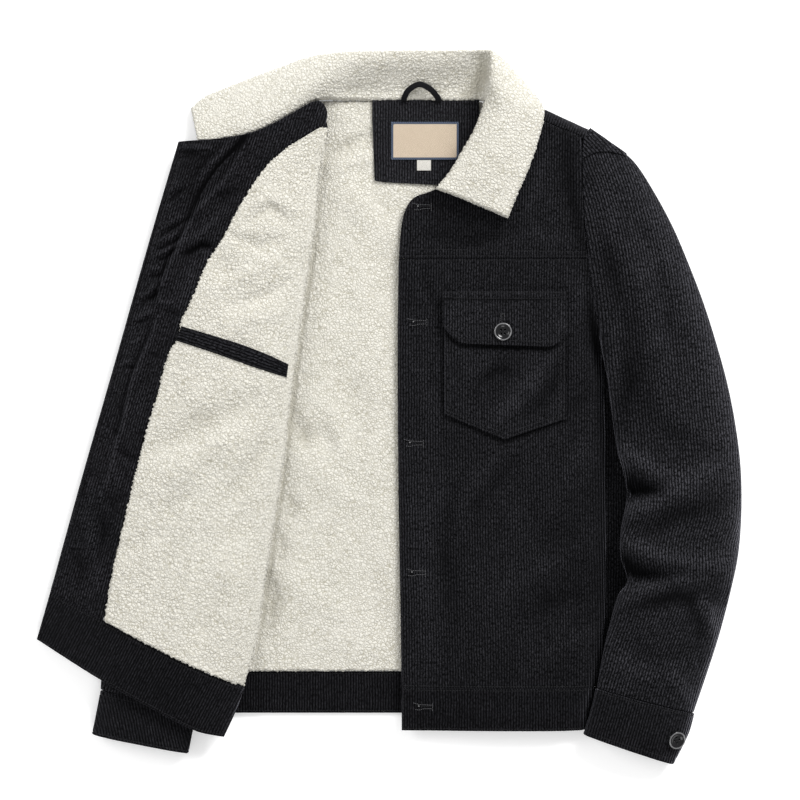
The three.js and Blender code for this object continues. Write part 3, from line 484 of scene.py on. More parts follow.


# Corduroy: ribs along the grain, with dark grooves between them and a worn nap on top, lighter at the cut
# edges; painted highlight and painted shade from the creases and along listed paths lighten and darken its
# colour
def corduroy(name, pitch=2.97, crest=0.0115, groove=0.001, ribHeight=0.7, grain=1.0, lint=0.35, cool=0.14,
             depth=0.94):
    look = Look(name)
    across, along, edge = look.split(look.attribute("cloth"))

    def streaks(acrossScale, alongScale, layer, *fineness):
        return look.noise(look.join(across * acrossScale, along * alongScale, layer), 1.0, *fineness)

    drift = streaks(0.02, 0.012, 0.0, 2.0)
    wander = streaks(0.12, 0.05, 4.0, 2.0)
    place = (across + (drift - 0.5) * 3.0 + (wander - 0.5) * 1.3) * (1 / pitch)
    away = look.sum("ABSOLUTE", look.sum("FRACT", place) - 0.5) * 2.0
    rib = 1 - look.ease(away, 0.3, 0.98)
    fibres = streaks(0.66, 0.32, 1.0, 3.0, 0.8)
    patchy = streaks(0.11, 0.05, 2.0, 3.0)
    bare = streaks(0.02, 0.014, 7.0, 2.0)
    napAndPaintedShade = look.sum("MAXIMUM", 1 + (fibres - 0.5) * 10.5 * grain, 0.0)
    # Painted light and shade: this attribute lightens crease ridges and darkens troughs, edges and listed
    # paths
    paintedShading = look.attribute("paintedShading", "Fac") + 1
    tone = (rib * depth + (1 - depth)) * napAndPaintedShade * (0.55 + patchy * 0.9) * (0.7 + bare * 0.6) * paintedShading
    wearAndPaintedLight = (1 - look.ease(edge, 0.2, 2.0)) * 0.12
    colour = look.mix(look.sum("MINIMUM", tone, 3.0) / 3.0, grey(groove, cool), grey(crest * 3, cool))
    colour = look.mix(wearAndPaintedLight * rib, colour, grey(crest * 2.2, cool))
    specks = look.ease(streaks(0.62, 0.42, 9.0, 4.0, 0.8), 0.66, 0.8)
    colour = look.mix(specks * lint * rib, colour, grey(crest * 4, cool))
    height = rib * (0.7 + fibres * 0.6)
    return look.finish(Base_Color=colour, Roughness=0.92, Specular_IOR_Level=0.03, Sheen_Weight=0.4,
                       Sheen_Roughness=0.3, Sheen_Tint=grey(0.45, cool), Normal=look.bump(height, ribHeight))


# Sherpa: light curls with thin darker hollows between them; the hollows' darker, yellower colour is painted
# shade, deepened by painted shade in creases and along listed paths
def sherpa(name):
    look = Look(name)
    paintedPitShade = look.attribute("paintedPitShade", "Fac")
    at = look.add("ShaderNodeTexCoord", output=3)
    stir = look.add("ShaderNodeTexNoise", None, {"Vector": at, "Scale": 170.0, "Detail": 2.0}, 1)
    stirred = look.add("ShaderNodeVectorMath", {"operation": "MULTIPLY_ADD"},
                       {0: stir, 1: (0.0042, 0.0042, 0.0042), 2: at})
    gap = look.add("ShaderNodeTexVoronoi", {"feature": "DISTANCE_TO_EDGE"},
                   {"Vector": stirred, "Scale": 290.0})
    curls = look.noise(at, 620.0, 4.0, 0.65)
    clumps = look.noise(at, 55.0, 3.0)
    shown = look.ease(look.noise(at, 75.0, 3.0), 0.32, 0.68) * 0.4 + 0.6
    # Painted shade: the hollows and crevices between curls take a darker, yellower colour
    paintedCreviceShade = (1 - look.ease(gap, 0.0, 0.14)) * shown * (look.ease(paintedPitShade, -0.3, 0.5) * 0.6 + 0.4)
    paintedHollowShade = look.sum("MAXIMUM", look.ease(paintedPitShade + (curls - 0.5) * 0.4, 0.62, 1.25) * 0.52, paintedCreviceShade * 0.78)
    colour = look.mix(paintedHollowShade, (0.664, 0.645, 0.583, 1), (0.275, 0.252, 0.18, 1))
    colour = look.mix(look.ease(clumps, 0.4, 0.8) * 0.1, colour, (0.54, 0.52, 0.448, 1))
    relief = look.ease(gap, 0.0, 0.3) * 0.7 + curls * 0.5
    return look.finish(Base_Color=colour, Roughness=0.95, Specular_IOR_Level=0.1, Sheen_Weight=0.15,
                       Sheen_Roughness=0.6, Normal=look.bump(relief, 0.8, 0.85))


def plainCloth(name, colour, dark, threads=0.5, depth=0.15):
    look = Look(name)
    across, along, edge = look.split(look.attribute("cloth"))
    warp = look.sum("SINE", across * (6.283 / threads))
    weft = look.sum("SINE", along * (6.283 / threads))
    weave = warp * weft * 0.5 + 0.5
    mottle = look.noise(look.join(across * 0.15, along * 0.15, 3.0), 1.0, 4.0)
    tint = look.mix(weave * 0.5 + mottle * 0.5, dark, colour)
    return look, (across, along, edge), tint, look.bump(weave + mottle, depth)


labelSize = {"border": 2.5, "stitch": 2.4, "slant": 0.9}


# Bare woven label, edged by a dark border with slanted stitches
def labelLook():
    look, (across, along, edge), tint, normal = plainCloth(
        "wovenLabel", (0.56, 0.46, 0.345, 1), (0.46, 0.365, 0.27, 1))
    slant = look.sum("PINGPONG", across + along * labelSize["slant"], labelSize["stitch"] / 2)
    stitch = 1 - look.ease(slant, 0.25, 0.6)
    border = look.mix(stitch, (0.010, 0.014, 0.032, 1), (0.075, 0.12, 0.20, 1))
    inside = look.ease(edge, labelSize["border"] - 0.3, labelSize["border"] + 0.3)
    colour = look.mix(inside, border, tint)
    return look.finish(Base_Color=colour, Roughness=0.6, Sheen_Weight=0.1, Normal=normal)


def tabLook():
    look, _, tint, normal = plainCloth("sizeTabCloth", (0.66, 0.64, 0.59, 1), (0.50, 0.48, 0.44, 1))
    return look.finish(Base_Color=tint, Roughness=0.65, Normal=normal)


def tapeLook():
    look, _, tint, normal = plainCloth("loopTape", (0.008, 0.008, 0.0095, 1), (0.003, 0.003, 0.004, 1), 0.7)
    return look.finish(Base_Color=tint, Roughness=0.7, Specular_IOR_Level=0.08, Sheen_Weight=0.01,
                       Normal=normal)


def threadLook(name, colour):
    look = Look(name)
    at = look.add("ShaderNodeTexCoord", output=3)
    twist = look.noise(at, 900.0, 2.0)
    tint = look.mix(twist, tuple(part * 0.6 for part in colour[:3]) + (1,), colour)
    return look.finish(Base_Color=tint, Roughness=0.7, Specular_IOR_Level=0.12, Sheen_Weight=0.02,
                       Normal=look.bump(twist, 0.15))


def buttonLook():
    look = Look("buttonPlastic")
    at = look.add("ShaderNodeTexCoord", output=3)
    scuffs = look.noise(at, 700.0, 4.0, 0.7)
    # Painted highlight: the rim is a lighter grey, standing in for the ring of reflected light on it
    rim = look.attribute("rim", "Fac")
    colour = look.mix(rim, (0.003, 0.003, 0.004, 1), (0.14, 0.14, 0.145, 1))
    return look.finish(Base_Color=colour, Roughness=look.ease(scuffs, 0.3, 0.9) * 0.1 + 0.14,
                       Specular_IOR_Level=0.4, Coat_Weight=rim, Coat_Roughness=0.15,
                       Normal=look.bump(scuffs, 0.02))


looks = {
    "front": corduroy("frontCorduroy", crest=0.0116, ribHeight=0.5),
    "band": corduroy("bandCorduroy", pitch=3.0, crest=0.0095, groove=0.0005, ribHeight=0.65, grain=0.8),
    "pocket": corduroy("pocketCorduroy", crest=0.013, ribHeight=0.5),
    "facing": corduroy("facingCorduroy", pitch=2.9, crest=0.0118, ribHeight=0.5, grain=1.25),
    "sleeve": corduroy("sleeveCorduroy", pitch=3.4, crest=0.0162, groove=0.0012, grain=1.2, depth=0.97),
    "cuff": corduroy("cuffCorduroy", pitch=3.2, crest=0.0112, groove=0.0005, grain=0.8),
    "patch": corduroy("neckCorduroy", pitch=3.0, crest=0.017, groove=0.003),
    "sherpa": sherpa("sherpaPile"),
    "label": labelLook(),
    "tab": tabLook(),
    "tape": tapeLook(),
    "thread": threadLook("blackThread", (0.022, 0.022, 0.024, 1)),
    "holeThread": threadLook("buttonholeThread", (0.13, 0.13, 0.136, 1)),
    "knotThread": threadLook("knotThread", (0.32, 0.32, 0.325, 1)),
    "button": buttonLook(),
}
print("materials ready")


# Mesh tools

def makePiece(name, points, quads, lookName, standsFor, attributes=None, triangles=None):
    mesh = bpy.data.meshes.new(name)
    quads = np.asarray(quads, np.int32).reshape(-1, 4)
    triangles = np.zeros((0, 3), np.int32) if triangles is None else np.asarray(triangles, np.int32)
    corners = np.concatenate([quads.ravel(), triangles.ravel()])
    starts = np.concatenate([np.arange(len(quads)) * 4, len(quads) * 4 + np.arange(len(triangles)) * 3])
    mesh.vertices.add(len(points))
    mesh.vertices.foreach_set("co", (np.asarray(points) * mm).ravel())
    mesh.loops.add(len(corners))
    mesh.polygons.add(len(starts))
    mesh.polygons.foreach_set("loop_start", starts.astype(np.int32))
    mesh.polygons.foreach_set("vertices", corners.astype(np.int32))
    mesh.polygons.foreach_set("use_smooth", np.ones(len(starts), bool))
    for key, values in (attributes or {}).items():
        kind = "FLOAT_VECTOR" if values.ndim == 2 else "FLOAT"
        layer = mesh.attributes.new(key, kind, "POINT")
        layer.data.foreach_set("vector" if values.ndim == 2 else "value", values.ravel())
    mesh.update(calc_edges=True)
    mesh.validate()
    mesh.materials.append(looks[lookName])
    piece = bpy.data.objects.new(name, mesh)
    bpy.context.collection.objects.link(piece)
    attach(piece, "root")
    if standsFor:
        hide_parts(*standsFor)
    print(name, len(quads) * 2 + len(triangles), "triangles")
    return piece


# Lines of a grid from 0 to 1: even inside, and crowding over a rounded rim at both ends
def gridLines(reach, spacing, rim, steps=4, low=(), high=()):
    over = rim * (1 - np.cos(np.linspace(0, np.pi / 2, steps + 1)))[:-1]
    inner = np.linspace(rim, reach - rim, max(2, math.ceil((reach - 2 * rim) / spacing) + 1))
    rows = [seam + offset for seam in low for offset in stitchWay["lines"]]
    rows += [reach - seam - offset for seam in high for offset in stitchWay["lines"]]
    lines = np.concatenate([over, inner, reach - over[::-1]])
    for row in rows:  # a stitched row's own lines take the place of those beside it
        if rim < row < reach - rim:
            apart = np.abs(lines - row) > stitchWay["clear"]
            lines = np.append(lines[apart | (lines <= rim) | (lines >= reach - rim)], row)
    return np.unique(np.round(lines, 5)) / reach


# How a stitched row sinks into the cloth and gathers it, and its stitches; in mm
stitchWay = {"lines": (-1.3, -0.6, 0, 0.6, 1.3), "clear": 0.42, "width": 0.65, "depth": 0.5,
             "pitch": 3.4, "length": 2.5, "thick": 0.62, "pucker": 0.32, "reach": 7.0}


def ripple(along, seed):
    total = np.zeros_like(along)
    waves = np.random.default_rng(seed)
    for reach in (7.5, 10.5, 15, 23):
        total += np.sin(2 * np.pi * along / (reach * waves.uniform(0.9, 1.1)) + waves.uniform(0, 6.3))
    return total / 2.4


# The furrow and the gathers that rows of stitches leave; rows maps an edge to its distances in mm
def stitchedRelief(u, v, size, rows, pucker, seed):
    relief = np.zeros_like(u)
    sides = {"left": u * size[0], "right": (1 - u) * size[0], "low": v * size[1], "high": (1 - v) * size[1]}
    for k, (side, distances) in enumerate(rows.items()):
        along = v * size[1] if side in ("left", "right") else u * size[0]
        for distance in distances:
            relief -= stitchWay["depth"] * bell(sides[side] - distance, stitchWay["width"])
        nearness = bell(sides[side] - np.mean(distances), stitchWay["reach"])
        relief += pucker * ripple(along, seed + k) * nearness
    return relief


threadRuns = []  # each run: starts and ends of its stitches, their lift and their thread


# Lay stitches along one line of a surface, from what it gives for u and v
def sewAlong(surface, u, v, thread="thread", pitch=None, lift=0.1):
    pitch = pitch or stitchWay["pitch"]
    x, y, top = surface(u, v)[:3]
    path = np.stack([x, y, top], 1)
    run = runOf(path)
    count = max(1, int(run[-1] / pitch))
    middle = (np.arange(count) + 0.5) * run[-1] / count
    middle = middle + rng.uniform(-0.12, 0.12, count)

    def at(where):
        return np.stack([np.interp(where, run, path[:, k]) for k in range(3)], 1)

    half = stitchWay["length"] * pitch / stitchWay["pitch"] / 2
    threadRuns.append((at(middle - half), at(middle + half), lift, thread))


def rounded(distance, rim):
    return np.sqrt(1 - (1 - np.clip(distance / rim, 0, 1)) ** 2)


def gridQuads(rows, columns, start=0, flip=False):
    i, j = np.meshgrid(np.arange(rows - 1), np.arange(columns - 1), indexing="ij")
    a = (start + i * columns + j).ravel()
    quads = np.stack([a, a + columns, a + columns + 1, a + 1], 1)
    return quads[:, ::-1] if flip else quads


def rimLoop(rows, columns):
    i, j = np.arange(rows), np.arange(columns)
    return np.concatenate([i * columns, (rows - 1) * columns + j[1:], (i[::-1] * columns + columns - 1)[1:],
                           j[::-1][1:-1]])


# Limits of the painted light and shade in the cloth's colour
paintedShadingRange = (-0.96, 1.6)


# Painted highlight on crease ridges and painted shade in their troughs, from the height of the creases, plus
# painted light and shade along listed paths
def paintedShadingOf(relief, napAndPaintedShade, x, y, wearAndPaintedLight=0.2):
    paintedReliefShading = relief(x, y) * wearAndPaintedLight if relief else np.zeros_like(x)
    paintedReliefShading = paintedReliefShading + creased(napAndPaintedShade, x, y)
    return np.tile(np.clip(paintedReliefShading, *paintedShadingRange).ravel(), 2)


# A closed piece of cloth from its outer and inner face; edge is the share of its thickness left at the rim
# Its last arguments set the painted light and shade in its colour: from the creases' relief and along listed
# paths
def clothPiece(name, surface, size, lookName, standsFor, grain=None, spacing=4.0, rim=1.8, edge=0.35,
               rows=None, pucker=stitchWay["pucker"], relief=None, napAndPaintedShade=(), wearAndPaintedLight=0.2):
    rows = rows or {}
    lines = [gridLines(size[0], spacing, rim, 4, rows.get("left", ()), rows.get("right", ())),
             gridLines(size[1], spacing, rim, 4, rows.get("low", ()), rows.get("high", ()))]
    u, v = np.meshgrid(*lines, indexing="ij")
    x, y, top, bottom = surface(u, v)
    seed = sum(map(ord, name))
    top = top + stitchedRelief(u, v, size, rows, pucker, seed)

    def stitched(a, b):
        sewnX, sewnY, sewnTop, _ = surface(a, b)
        return sewnX, sewnY, sewnTop + stitchedRelief(a, b, size, rows, pucker, seed)

    run = np.linspace(0.006, 0.994, 400)
    for side, distances in rows.items():
        upright = side in ("left", "right")
        for distance in distances:
            inward = distance / size[0 if upright else 1]
            fixed = np.full_like(run, inward if side in ("left", "low") else 1 - inward)
            sewAlong(stitched, *((fixed, run) if upright else (run, fixed)))
    awayU, awayV = np.minimum(u, 1 - u) * size[0], np.minimum(v, 1 - v) * size[1]
    full = lerp(edge, 1, rounded(awayU, rim) * rounded(awayV, rim))
    middle, half = (top + bottom) / 2, (top - bottom) / 2 * full
    rows, columns = u.shape
    outer = np.stack([x, y, middle + half], -1).reshape(-1, 3)
    inner = np.stack([x, y, middle - half], -1).reshape(-1, 3)
    loop = rimLoop(rows, columns)
    after, under = np.roll(loop, -1), rows * columns
    wall = np.stack([loop, loop + under, after + under, after], 1)
    quads = np.concatenate([gridQuads(rows, columns), gridQuads(rows, columns, under, True), wall])
    across, along = grain(x, y, u, v) if grain else (x, y)
    cloth = np.tile(np.stack([across, along, np.minimum(awayU, awayV)], -1).reshape(-1, 3), (2, 1))
    return makePiece(name, np.concatenate([outer, inner]), quads, lookName, standsFor,
                     {"cloth": cloth, "paintedShading": paintedShadingOf(relief, napAndPaintedShade, x, y, wearAndPaintedLight)})


# Scattered points, one to a cell, placed by an integer hash: distances to the nearest and the next, and the
# nearest one's tone
def cells(points, size, seed):
    place = points / size
    base = np.floor(place).astype(np.int64)
    first, second = np.full(len(points), 9.0), np.full(len(points), 9.0)
    tone = np.zeros(len(points))
    for shift in np.ndindex(3, 3, 3):
        cell = base + np.array(shift) - 1
        code = (cell[:, 0] * 73856093) ^ (cell[:, 1] * 19349663) ^ (cell[:, 2] * 83492791) ^ seed
        code = (code ^ (code >> 13)) * 1274126177 & 0xFFFFFFFF
        code = (code ^ (code >> 15)) * 668265263 & 0xFFFFFFFF
        scatter = np.stack([code & 1023, code >> 10 & 1023, code >> 20 & 1023], 1) / 1023
        away = np.linalg.norm(place - cell - 0.1 - 0.8 * scatter, axis=1)
        closer = away < first
        second = np.where(closer, first, np.minimum(second, away))
        tone = np.where(closer, scatter[:, 0], tone)
        first = np.minimum(first, away)
    return first, second, tone


# How curls form: the level that keeps its height, more at the rim and on the skirt, a broad swell, how far
# creases darken the pile with painted shade, and the painted shade of the skirt
pileForm = {"level": 0.75, "fringe": 0.9, "skirtLevel": 0.72, "skirtLift": 1.5, "swell": 0.2, "lowest": 0.3,
            "paintedCreaseShade": 0.085, "skirtPaintedShade": 0.6, "smallShare": 0.55, "bend": 0.55}


# Height of the pile's curls from 0 in the hollows to 1 on the crests
def curlHeight(points, size):
    turn = np.stack([np.sin(points[:, 1] / 5.1 + 2) + np.sin(points[:, 0] / 3.3),
                     np.sin(points[:, 0] / 4.7) + np.sin(points[:, 1] / 3.1 + 1),
                     np.sin(points[:, 0] / 6.3 + points[:, 1] / 4.9)], 1)
    bent = points + turn * pileForm["bend"]
    near, far, tone = cells(bent, size, 11)
    smallNear, smallFar, _ = cells(bent + 50, size * pileForm["smallShare"], 29)
    gap = np.clip((far - near) / 0.42, 0, 1)
    crest = np.sqrt(gap) * (1 - 0.45 * near ** 2)
    small = np.clip((smallFar - smallNear) / 0.5, 0, 1)
    return np.clip(crest * (0.72 + 0.28 * tone) * 0.8 + small * 0.25, 0, 1.1)


# A pile lining: its curly face, a rounded rim and a skirt down to its backing
def pilePiece(name, surface, size, standsFor, spacing, depth, rim, curl, lift, relief=None,
              shade=()):
    u, v = np.meshgrid(gridLines(size[0], spacing, rim, 5), gridLines(size[1], spacing, rim, 5),
                       indexing="ij")
    x, y, top = surface(u, v)
    awayU, awayV = np.minimum(u, 1 - u) * size[0], np.minimum(v, 1 - v) * size[1]
    drop = 1 - rounded(awayU, rim) * rounded(awayV, rim)
    face = np.stack([x, y, top - rim * drop], -1)
    normal = np.cross(np.gradient(face, axis=0), np.gradient(face, axis=1))
    normal /= np.linalg.norm(normal, axis=-1, keepdims=True) + 1e-12
    rows, columns = u.shape
    points, normal = face.reshape(-1, 3), normal.reshape(-1, 3)
    curlUp = curlHeight(points, curl)
    broad = np.sin(points[:, 0] / 11 + np.sin(points[:, 1] / 17) * 2) * np.sin(points[:, 1] / 13 + 1)
    fringe = 1 + pileForm["fringe"] * np.clip(drop.ravel() * 1.6, 0, 1)
    raised = (curlUp - pileForm["level"]) * lift * fringe + broad * pileForm["swell"]
    moved = points + normal * raised[:, None]
    loop = rimLoop(rows, columns)
    count = rows * columns
    quads, skirt, before = [gridQuads(rows, columns)], [], loop
    for k, down in enumerate((0.5, 1.0)):
        ring = points[loop] - np.array([0, 0, (depth - rim) * down])
        outward = normal[loop] * np.array([1, 1, 0])
        curled = (curlHeight(ring, curl) - pileForm["skirtLevel"])[:, None]
        ring = ring + outward * curled * lift * pileForm["skirtLift"]
        ring[:, 2] = np.maximum(ring[:, 2], pileForm["lowest"])
        skirt.append(ring)
        now = count + k * len(loop) + np.arange(len(loop))
        quads.append(np.stack([before, now, np.roll(now, -1), np.roll(before, -1)], 1))
        before = now
    # Painted shade on the pile in deep creases and along the shade paths; the skirt gets a fixed amount
    paintedCreaseShade = np.clip(-relief(x, y).ravel() - 1, 0, 9) * pileForm["paintedCreaseShade"] if relief else 0
    paintedPitShade = np.concatenate([1 - curlUp + paintedCreaseShade + creased(shade, x, y).ravel(),
                          np.full(2 * len(loop), pileForm["skirtPaintedShade"])])
    return makePiece(name, np.concatenate([moved] + skirt), np.concatenate(quads), "sherpa", standsFor,
                     {"paintedPitShade": paintedPitShade})


# Grain turned by an angle, given as its cosine and sine
def leaning(c, s):
    return lambda x, y, u, v: (x * c - y * s, y * c + x * s)


# Back: shell, hem band, pile lining, yoke

backCreases = [
    (6, -3.4, (-66, 278), (-46, 290), (-20, 303)), (7, 2.0, (-62, 262), (-36, 274), (-14, 280)),
    (10, -2.6, (-92, -38), (-76, -28), (-62, -44)), (14, -1.6, (-60, 60), (-40, 20), (-34, -40)),
    (12, 1.6, (-80, 10), (-60, -10), (-50, -60)), (16, 1.4, (-30, 150), (-24, 80), (-10, 20)),
    (14, -1.4, (-20, 230), (0, 180), (4, 120)), (16, -1.3, (-20, -200), (0, -240), (6, -280)),
    (14, 1.3, (-70, -250), (-40, -262), (0, -262)),
    (2.5, -0.8, *beside(foldX, 2, *foldReach)),
    (9, -3.0, (-104, -8), (-94, -32), (-90, -46)), (8, -2.5, (-112, -96), (-106, -110), (-110, -126)),
    (7, -2.0, (-122, -140), (-117, -155), (-119, -172)),
    (10, -3.5, (-134, -186), (-127, -212), (-134, -250)),
]
# Painted shade, darker and yellower, on the pile over the whole back, beside the fold, in its creases and
# below the neck, and painted light near the hem: width, amount and path
backShade = [
    (150, 0.1, (20, 330), (20, 0), (20, -330)), (14, 0.27, (-104, -8), (-93, -32), (-88, -46)),
    (5, 0.2, (-100, 75), (-106, 20), (-112, -20)), (12, 0.3, (-114, -96), (-106, -110), (-109, -126)),
    (10, 0.27, (-122, -140), (-116, -155), (-118, -172)),
    (14, 0.36, (-136, -182), (-126, -205), (-128, -230), (-138, -252)),
    (9, 0.25, (-68, 276), (-46, 290), (-20, 303)), (6, 0.22, (-82, 220), (-86, 160), (-92, 110)),
    (5, 0.22, (-136, -180), (-148, -230), (-158, -286)),
    (46, -0.24, (-110, -276), (-40, -262), (20, -266)),
    (2.4, 0.6, *beside(foldX, 2.5, *foldReach)),
]
backPieces = {"panelSpacing": 9, "liningSpacing": 1.75, "curl": 4.0, "lift": 2.0}


panelTop = through((-76, 340.5), (-40, 340), (0, 340), (60, 340), (112, 334.5), (144, 328), (172, 318.5),
                   (204, 306), (218, 300.5))
panelFootY = -290.6
panelRight = alongEdge(backRightX, panelFootY, 285, 25).then((218, 300.5))
panelCut = cut(level(panelFootY, -190, panelRight.x[0]), panelTop,
               Line(backLeft["x"], np.maximum(backLeft["y"], panelFootY)), panelRight)
clothPiece("backPanel", flatOn(panelCut, wallOf["shell"]), (420, 620), "front", ["back_panel"],
           spacing=backPieces["panelSpacing"], rim=1, edge=0.5)

bandStrip = strip(level(backHemY, -184, 220),
                  level(backHemTopY, -188, 230))
clothPiece("backHemBand", flatOn(bandStrip, wallOf["band"]), (404, 46), "band", ["back_hem_band"], spacing=5,
           rim=2, rows={"low": [2.6], "high": [2.4]})

backLiningRight = through((205, -290.6), (208, 60), (196, 120), (190, 250), (150, 300), (100, 340.5))
liningBackCut = cut(level(-291.6, -188, 205), level(neckTopY, -76, 100),
                    Line(backLeft["x"] + 2, backLeft["y"]), backLiningRight)


# Never deeper than the pile itself
def backRelief(x, y):
    return np.maximum(creased(backCreases, x, y), -4.2)


def backLiningSurface(u, v):
    x, y = liningBackCut(u, v)
    return x, y, backTop(x, y) + backRelief(x, y)


pilePiece("backLining", backLiningSurface, (385, 632), ["back_lining"], backPieces["liningSpacing"],
          wallOf["pile"], 3, backPieces["curl"], backPieces["lift"],
          relief=lambda x, y: creased(backCreases, x, y), shade=backShade)


backYokeCut = strip(shoulderSeam.then((215.5, 296)), shoulderOutline.then((221, 309)), 0.6)
backYokeEdge = 7  # its height along the shoulder's outline


def backYokeSurface(u, v):
    x, y = backYokeCut(u, v)
    top = lerp(frontTop(x, y), backYokeEdge, v ** 1.8)
    return x, y, top, np.maximum(top - wallOf["front"], 0)


clothPiece("backYoke", backYokeSurface, (106, 15), "front", ["back_yoke"], spacing=3, rim=1.4,
           grain=leaning(0.93, 0.37))


# Neck facing, label, size tab and hanging loop

neckPieces = {"rise": 0.5, "onPatch": 2.6, "labelBox": (2.8, 274.5, 77.6, 316.2),
              "tabBox": (31.4, 262.6, 46.8, 274), "tabThick": 0.56, "stripThick": 1.9}


def onLining(piece, rise, thick):
    def surface(u, v):
        x, y = piece(u, v)
        base = backTop(x, y) + rise
        return x, y, base + thick, base

    return surface


def box(x0, y0, x1, y1):
    return strip(level(y0, x0, x1), level(y1, x0, x1), 0.01)


clothPiece("neckStrip", onLining(box(patchLeftX, neckSeamY, 100, neckTopY), neckPieces["rise"],
                                 neckPieces["stripThick"]),
           (118, 21.7), "patch", ["neck_strip"], spacing=3, rim=0.9, rows={"low": [1.6]}, pucker=0.2)
patchFoot = through((-15.4, 251.6), (-5, 249.8), (30, 248), (62, 247), (86, 250))
patchCut = strip(patchFoot, level(neckSeamY, patchLeftX, 98))
clothPiece("neckPatch", onLining(patchCut, neckPieces["rise"], wallOf["patch"]), (110, 70), "patch",
           ["neck_patch"], spacing=3, rim=0.8, rows={"low": [3.4], "left": [3.4]}, pucker=0.2)
clothPiece("neckLabel", onLining(box(*neckPieces["labelBox"]), neckPieces["onPatch"], wallOf["label"]),
           (74.8, 41.7), "label", ["neck_label"], spacing=1.6, rim=0.4)
clothPiece("sizeTab", onLining(box(*neckPieces["tabBox"]), neckPieces["onPatch"], neckPieces["tabThick"]),
           (15.4, 11.4), "tab", ["size_tab"], spacing=1.5, rim=0.3)

hangingLoop = {"spine": [(16.8, 338.6, 12.6), (17.6, 343, 16), (22.6, 350.6, 20), (34, 356.2, 22),
                         (46.2, 351, 20.5), (53, 344, 16.5), (56.4, 338.6, 12.6)],
               "width": 6.4, "thick": 2.0}


def ribbon(spine, width, thick, steps, around):
    knots = np.array(spine, float)
    run = runOf(knots)
    at = np.linspace(0, run[-1], steps + 1)
    centre = np.stack([smooth(run, knots[:, k], at) for k in range(3)], 1)
    side, up = sideAndUp(np.gradient(centre, axis=0))
    turn = np.linspace(0, 2 * np.pi, around, endpoint=False)
    c, s = np.cos(turn), np.sin(turn)
    c, s = np.sign(c) * np.abs(c) ** 0.5 * width / 2, np.sign(s) * np.abs(s) ** 0.7 * thick / 2
    points = centre[:, None] + side[:, None] * c[None, :, None] + up[:, None] * s[None, :, None]
    quads = tubeQuads(steps + 1, around)
    caps = [np.arange(around)[None, ::-1], steps * around + np.arange(around)[None]]
    fans = np.concatenate([np.stack([np.full(around - 2, cap[0, 0]), cap[0, 1:-1], cap[0, 2:]], 1)
                           for cap in caps])
    shape = (steps + 1, around)
    cloth = np.stack([np.broadcast_to(c, shape), np.broadcast_to(at[:, None], shape), np.full(shape, 3.0)],
                     -1)
    return points.reshape(-1, 3), quads, fans, cloth.reshape(-1, 3)


def tubeQuads(rings, around, start=0, flip=False):
    i, j = np.meshgrid(np.arange(rings - 1), np.arange(around), indexing="ij")
    a, b = (start + i * around + j).ravel(), (start + i * around + (j + 1) % around).ravel()
    quads = np.stack([a, b, b + around, a + around], 1)
    return quads[:, ::-1] if flip else quads


loopPoints, loopQuads, loopCaps, loopCloth = ribbon(hangingLoop["spine"], hangingLoop["width"],
                                                    hangingLoop["thick"], 40, 16)
makePiece("hangingLoop", loopPoints, loopQuads, "tape", ["hanging_loop"], {"cloth": loopCloth}, loopCaps)


# Left front: body, yoke, hem band, pocket and flap

frontCreases = [
    (7.6, 2.9, (112, -18), (150, 24), (176, 50)), (6, -2.4, (92, 22), (118, 42), (134, 40)),
    (5.1, 2.2, (128, -8), (150, 6), (168, 34)), (10.2, -2.5, (150, -8), (178, 18), (188, 50)),
    (11, 1.7, (70, -146), (84, -104), (128, -44)), (9, -1.9, (84, -120), (110, -88), (142, -50)),
    (15.3, 1.8, (176, -112), (205, -70), (222, -30)), (14, 1.2, (44, -80), (38, -180), (44, -270)),
    (10, -1.3, (70, -90), (62, -170), (70, -250)), (11, 1.6, (120, -205), (165, -180), (212, -150)),
    (10, -1.6, (140, -232), (170, -215), (222, -200)), (8.5, 1.4, (150, -292), (186, -262), (224, -244)),
    (9.3, 2.4, (150, 214), (162, 250), (172, 286)),
    (8, -1.8, (194, 300), (198, 250), (205, 210), (214, 170)),
    (8.5, 1.8, (120, 176), (160, 190), (196, 180)), (7.6, -1.8, (40, 190), (90, 182), (136, 196)),
    (8.5, 1.8, (196, 96), (210, 124), (204, 156)), (7, -2.6, (220, 118), (226, 80), (232, 40)),
    (6, 1.4, (24, 160), (34, 128), (48, 100)), (6, -1.3, (38, 150), (48, 120), (56, 96)),
    (8, -1.3, (196, -6), (214, 10), (228, 18)), (8, 1.1, (24, 60), (40, 20), (52, -20)),
]
# Painted light and shade on the cloth: shade beside the sleeve, under the collar leaf and below the pocket's
# edges, light and shade on the folds: width, shade and path
frontPaintedShade = [
    (9, -0.28, (196, 292), (201, 240), (209, 200), (217, 163), (223, 118)),
    (9, -0.75, (225, 110), (233, 50), (238, 0), (239, -80), (239, -160), (236, -240), (226, -300)),
    (28, -0.26, (205, -30), (196, -110), (200, -180), (210, -250)),
    (26, -0.2, (70, -280), (150, -285), (215, -280)),
    (20, 0.16, (28, 90), (30, -60), (34, -200), (40, -280)),
    (14, -0.25, (30, 222), (60, 204), (112, 190)), (15, 0.14, (104, -70), (140, -110), (150, -160)),
    (12, -0.16, (76, -90), (64, -150), (78, -210)), (10, -0.16, (150, -190), (170, -205), (176, -225)),
    (11, 0.15, (60, -30), (52, -60), (62, -96)),
    (2.0, -0.8, (62, -9), (94, -22.6), (127.5, -37), (161, -25), (196, -13.6)),
    (1.8, -0.7, (59.6, -4), (59.3, 60), (59.2, 84)), (1.8, -0.35, (196.4, -9), (196.6, 40), (196.6, 84)),
]
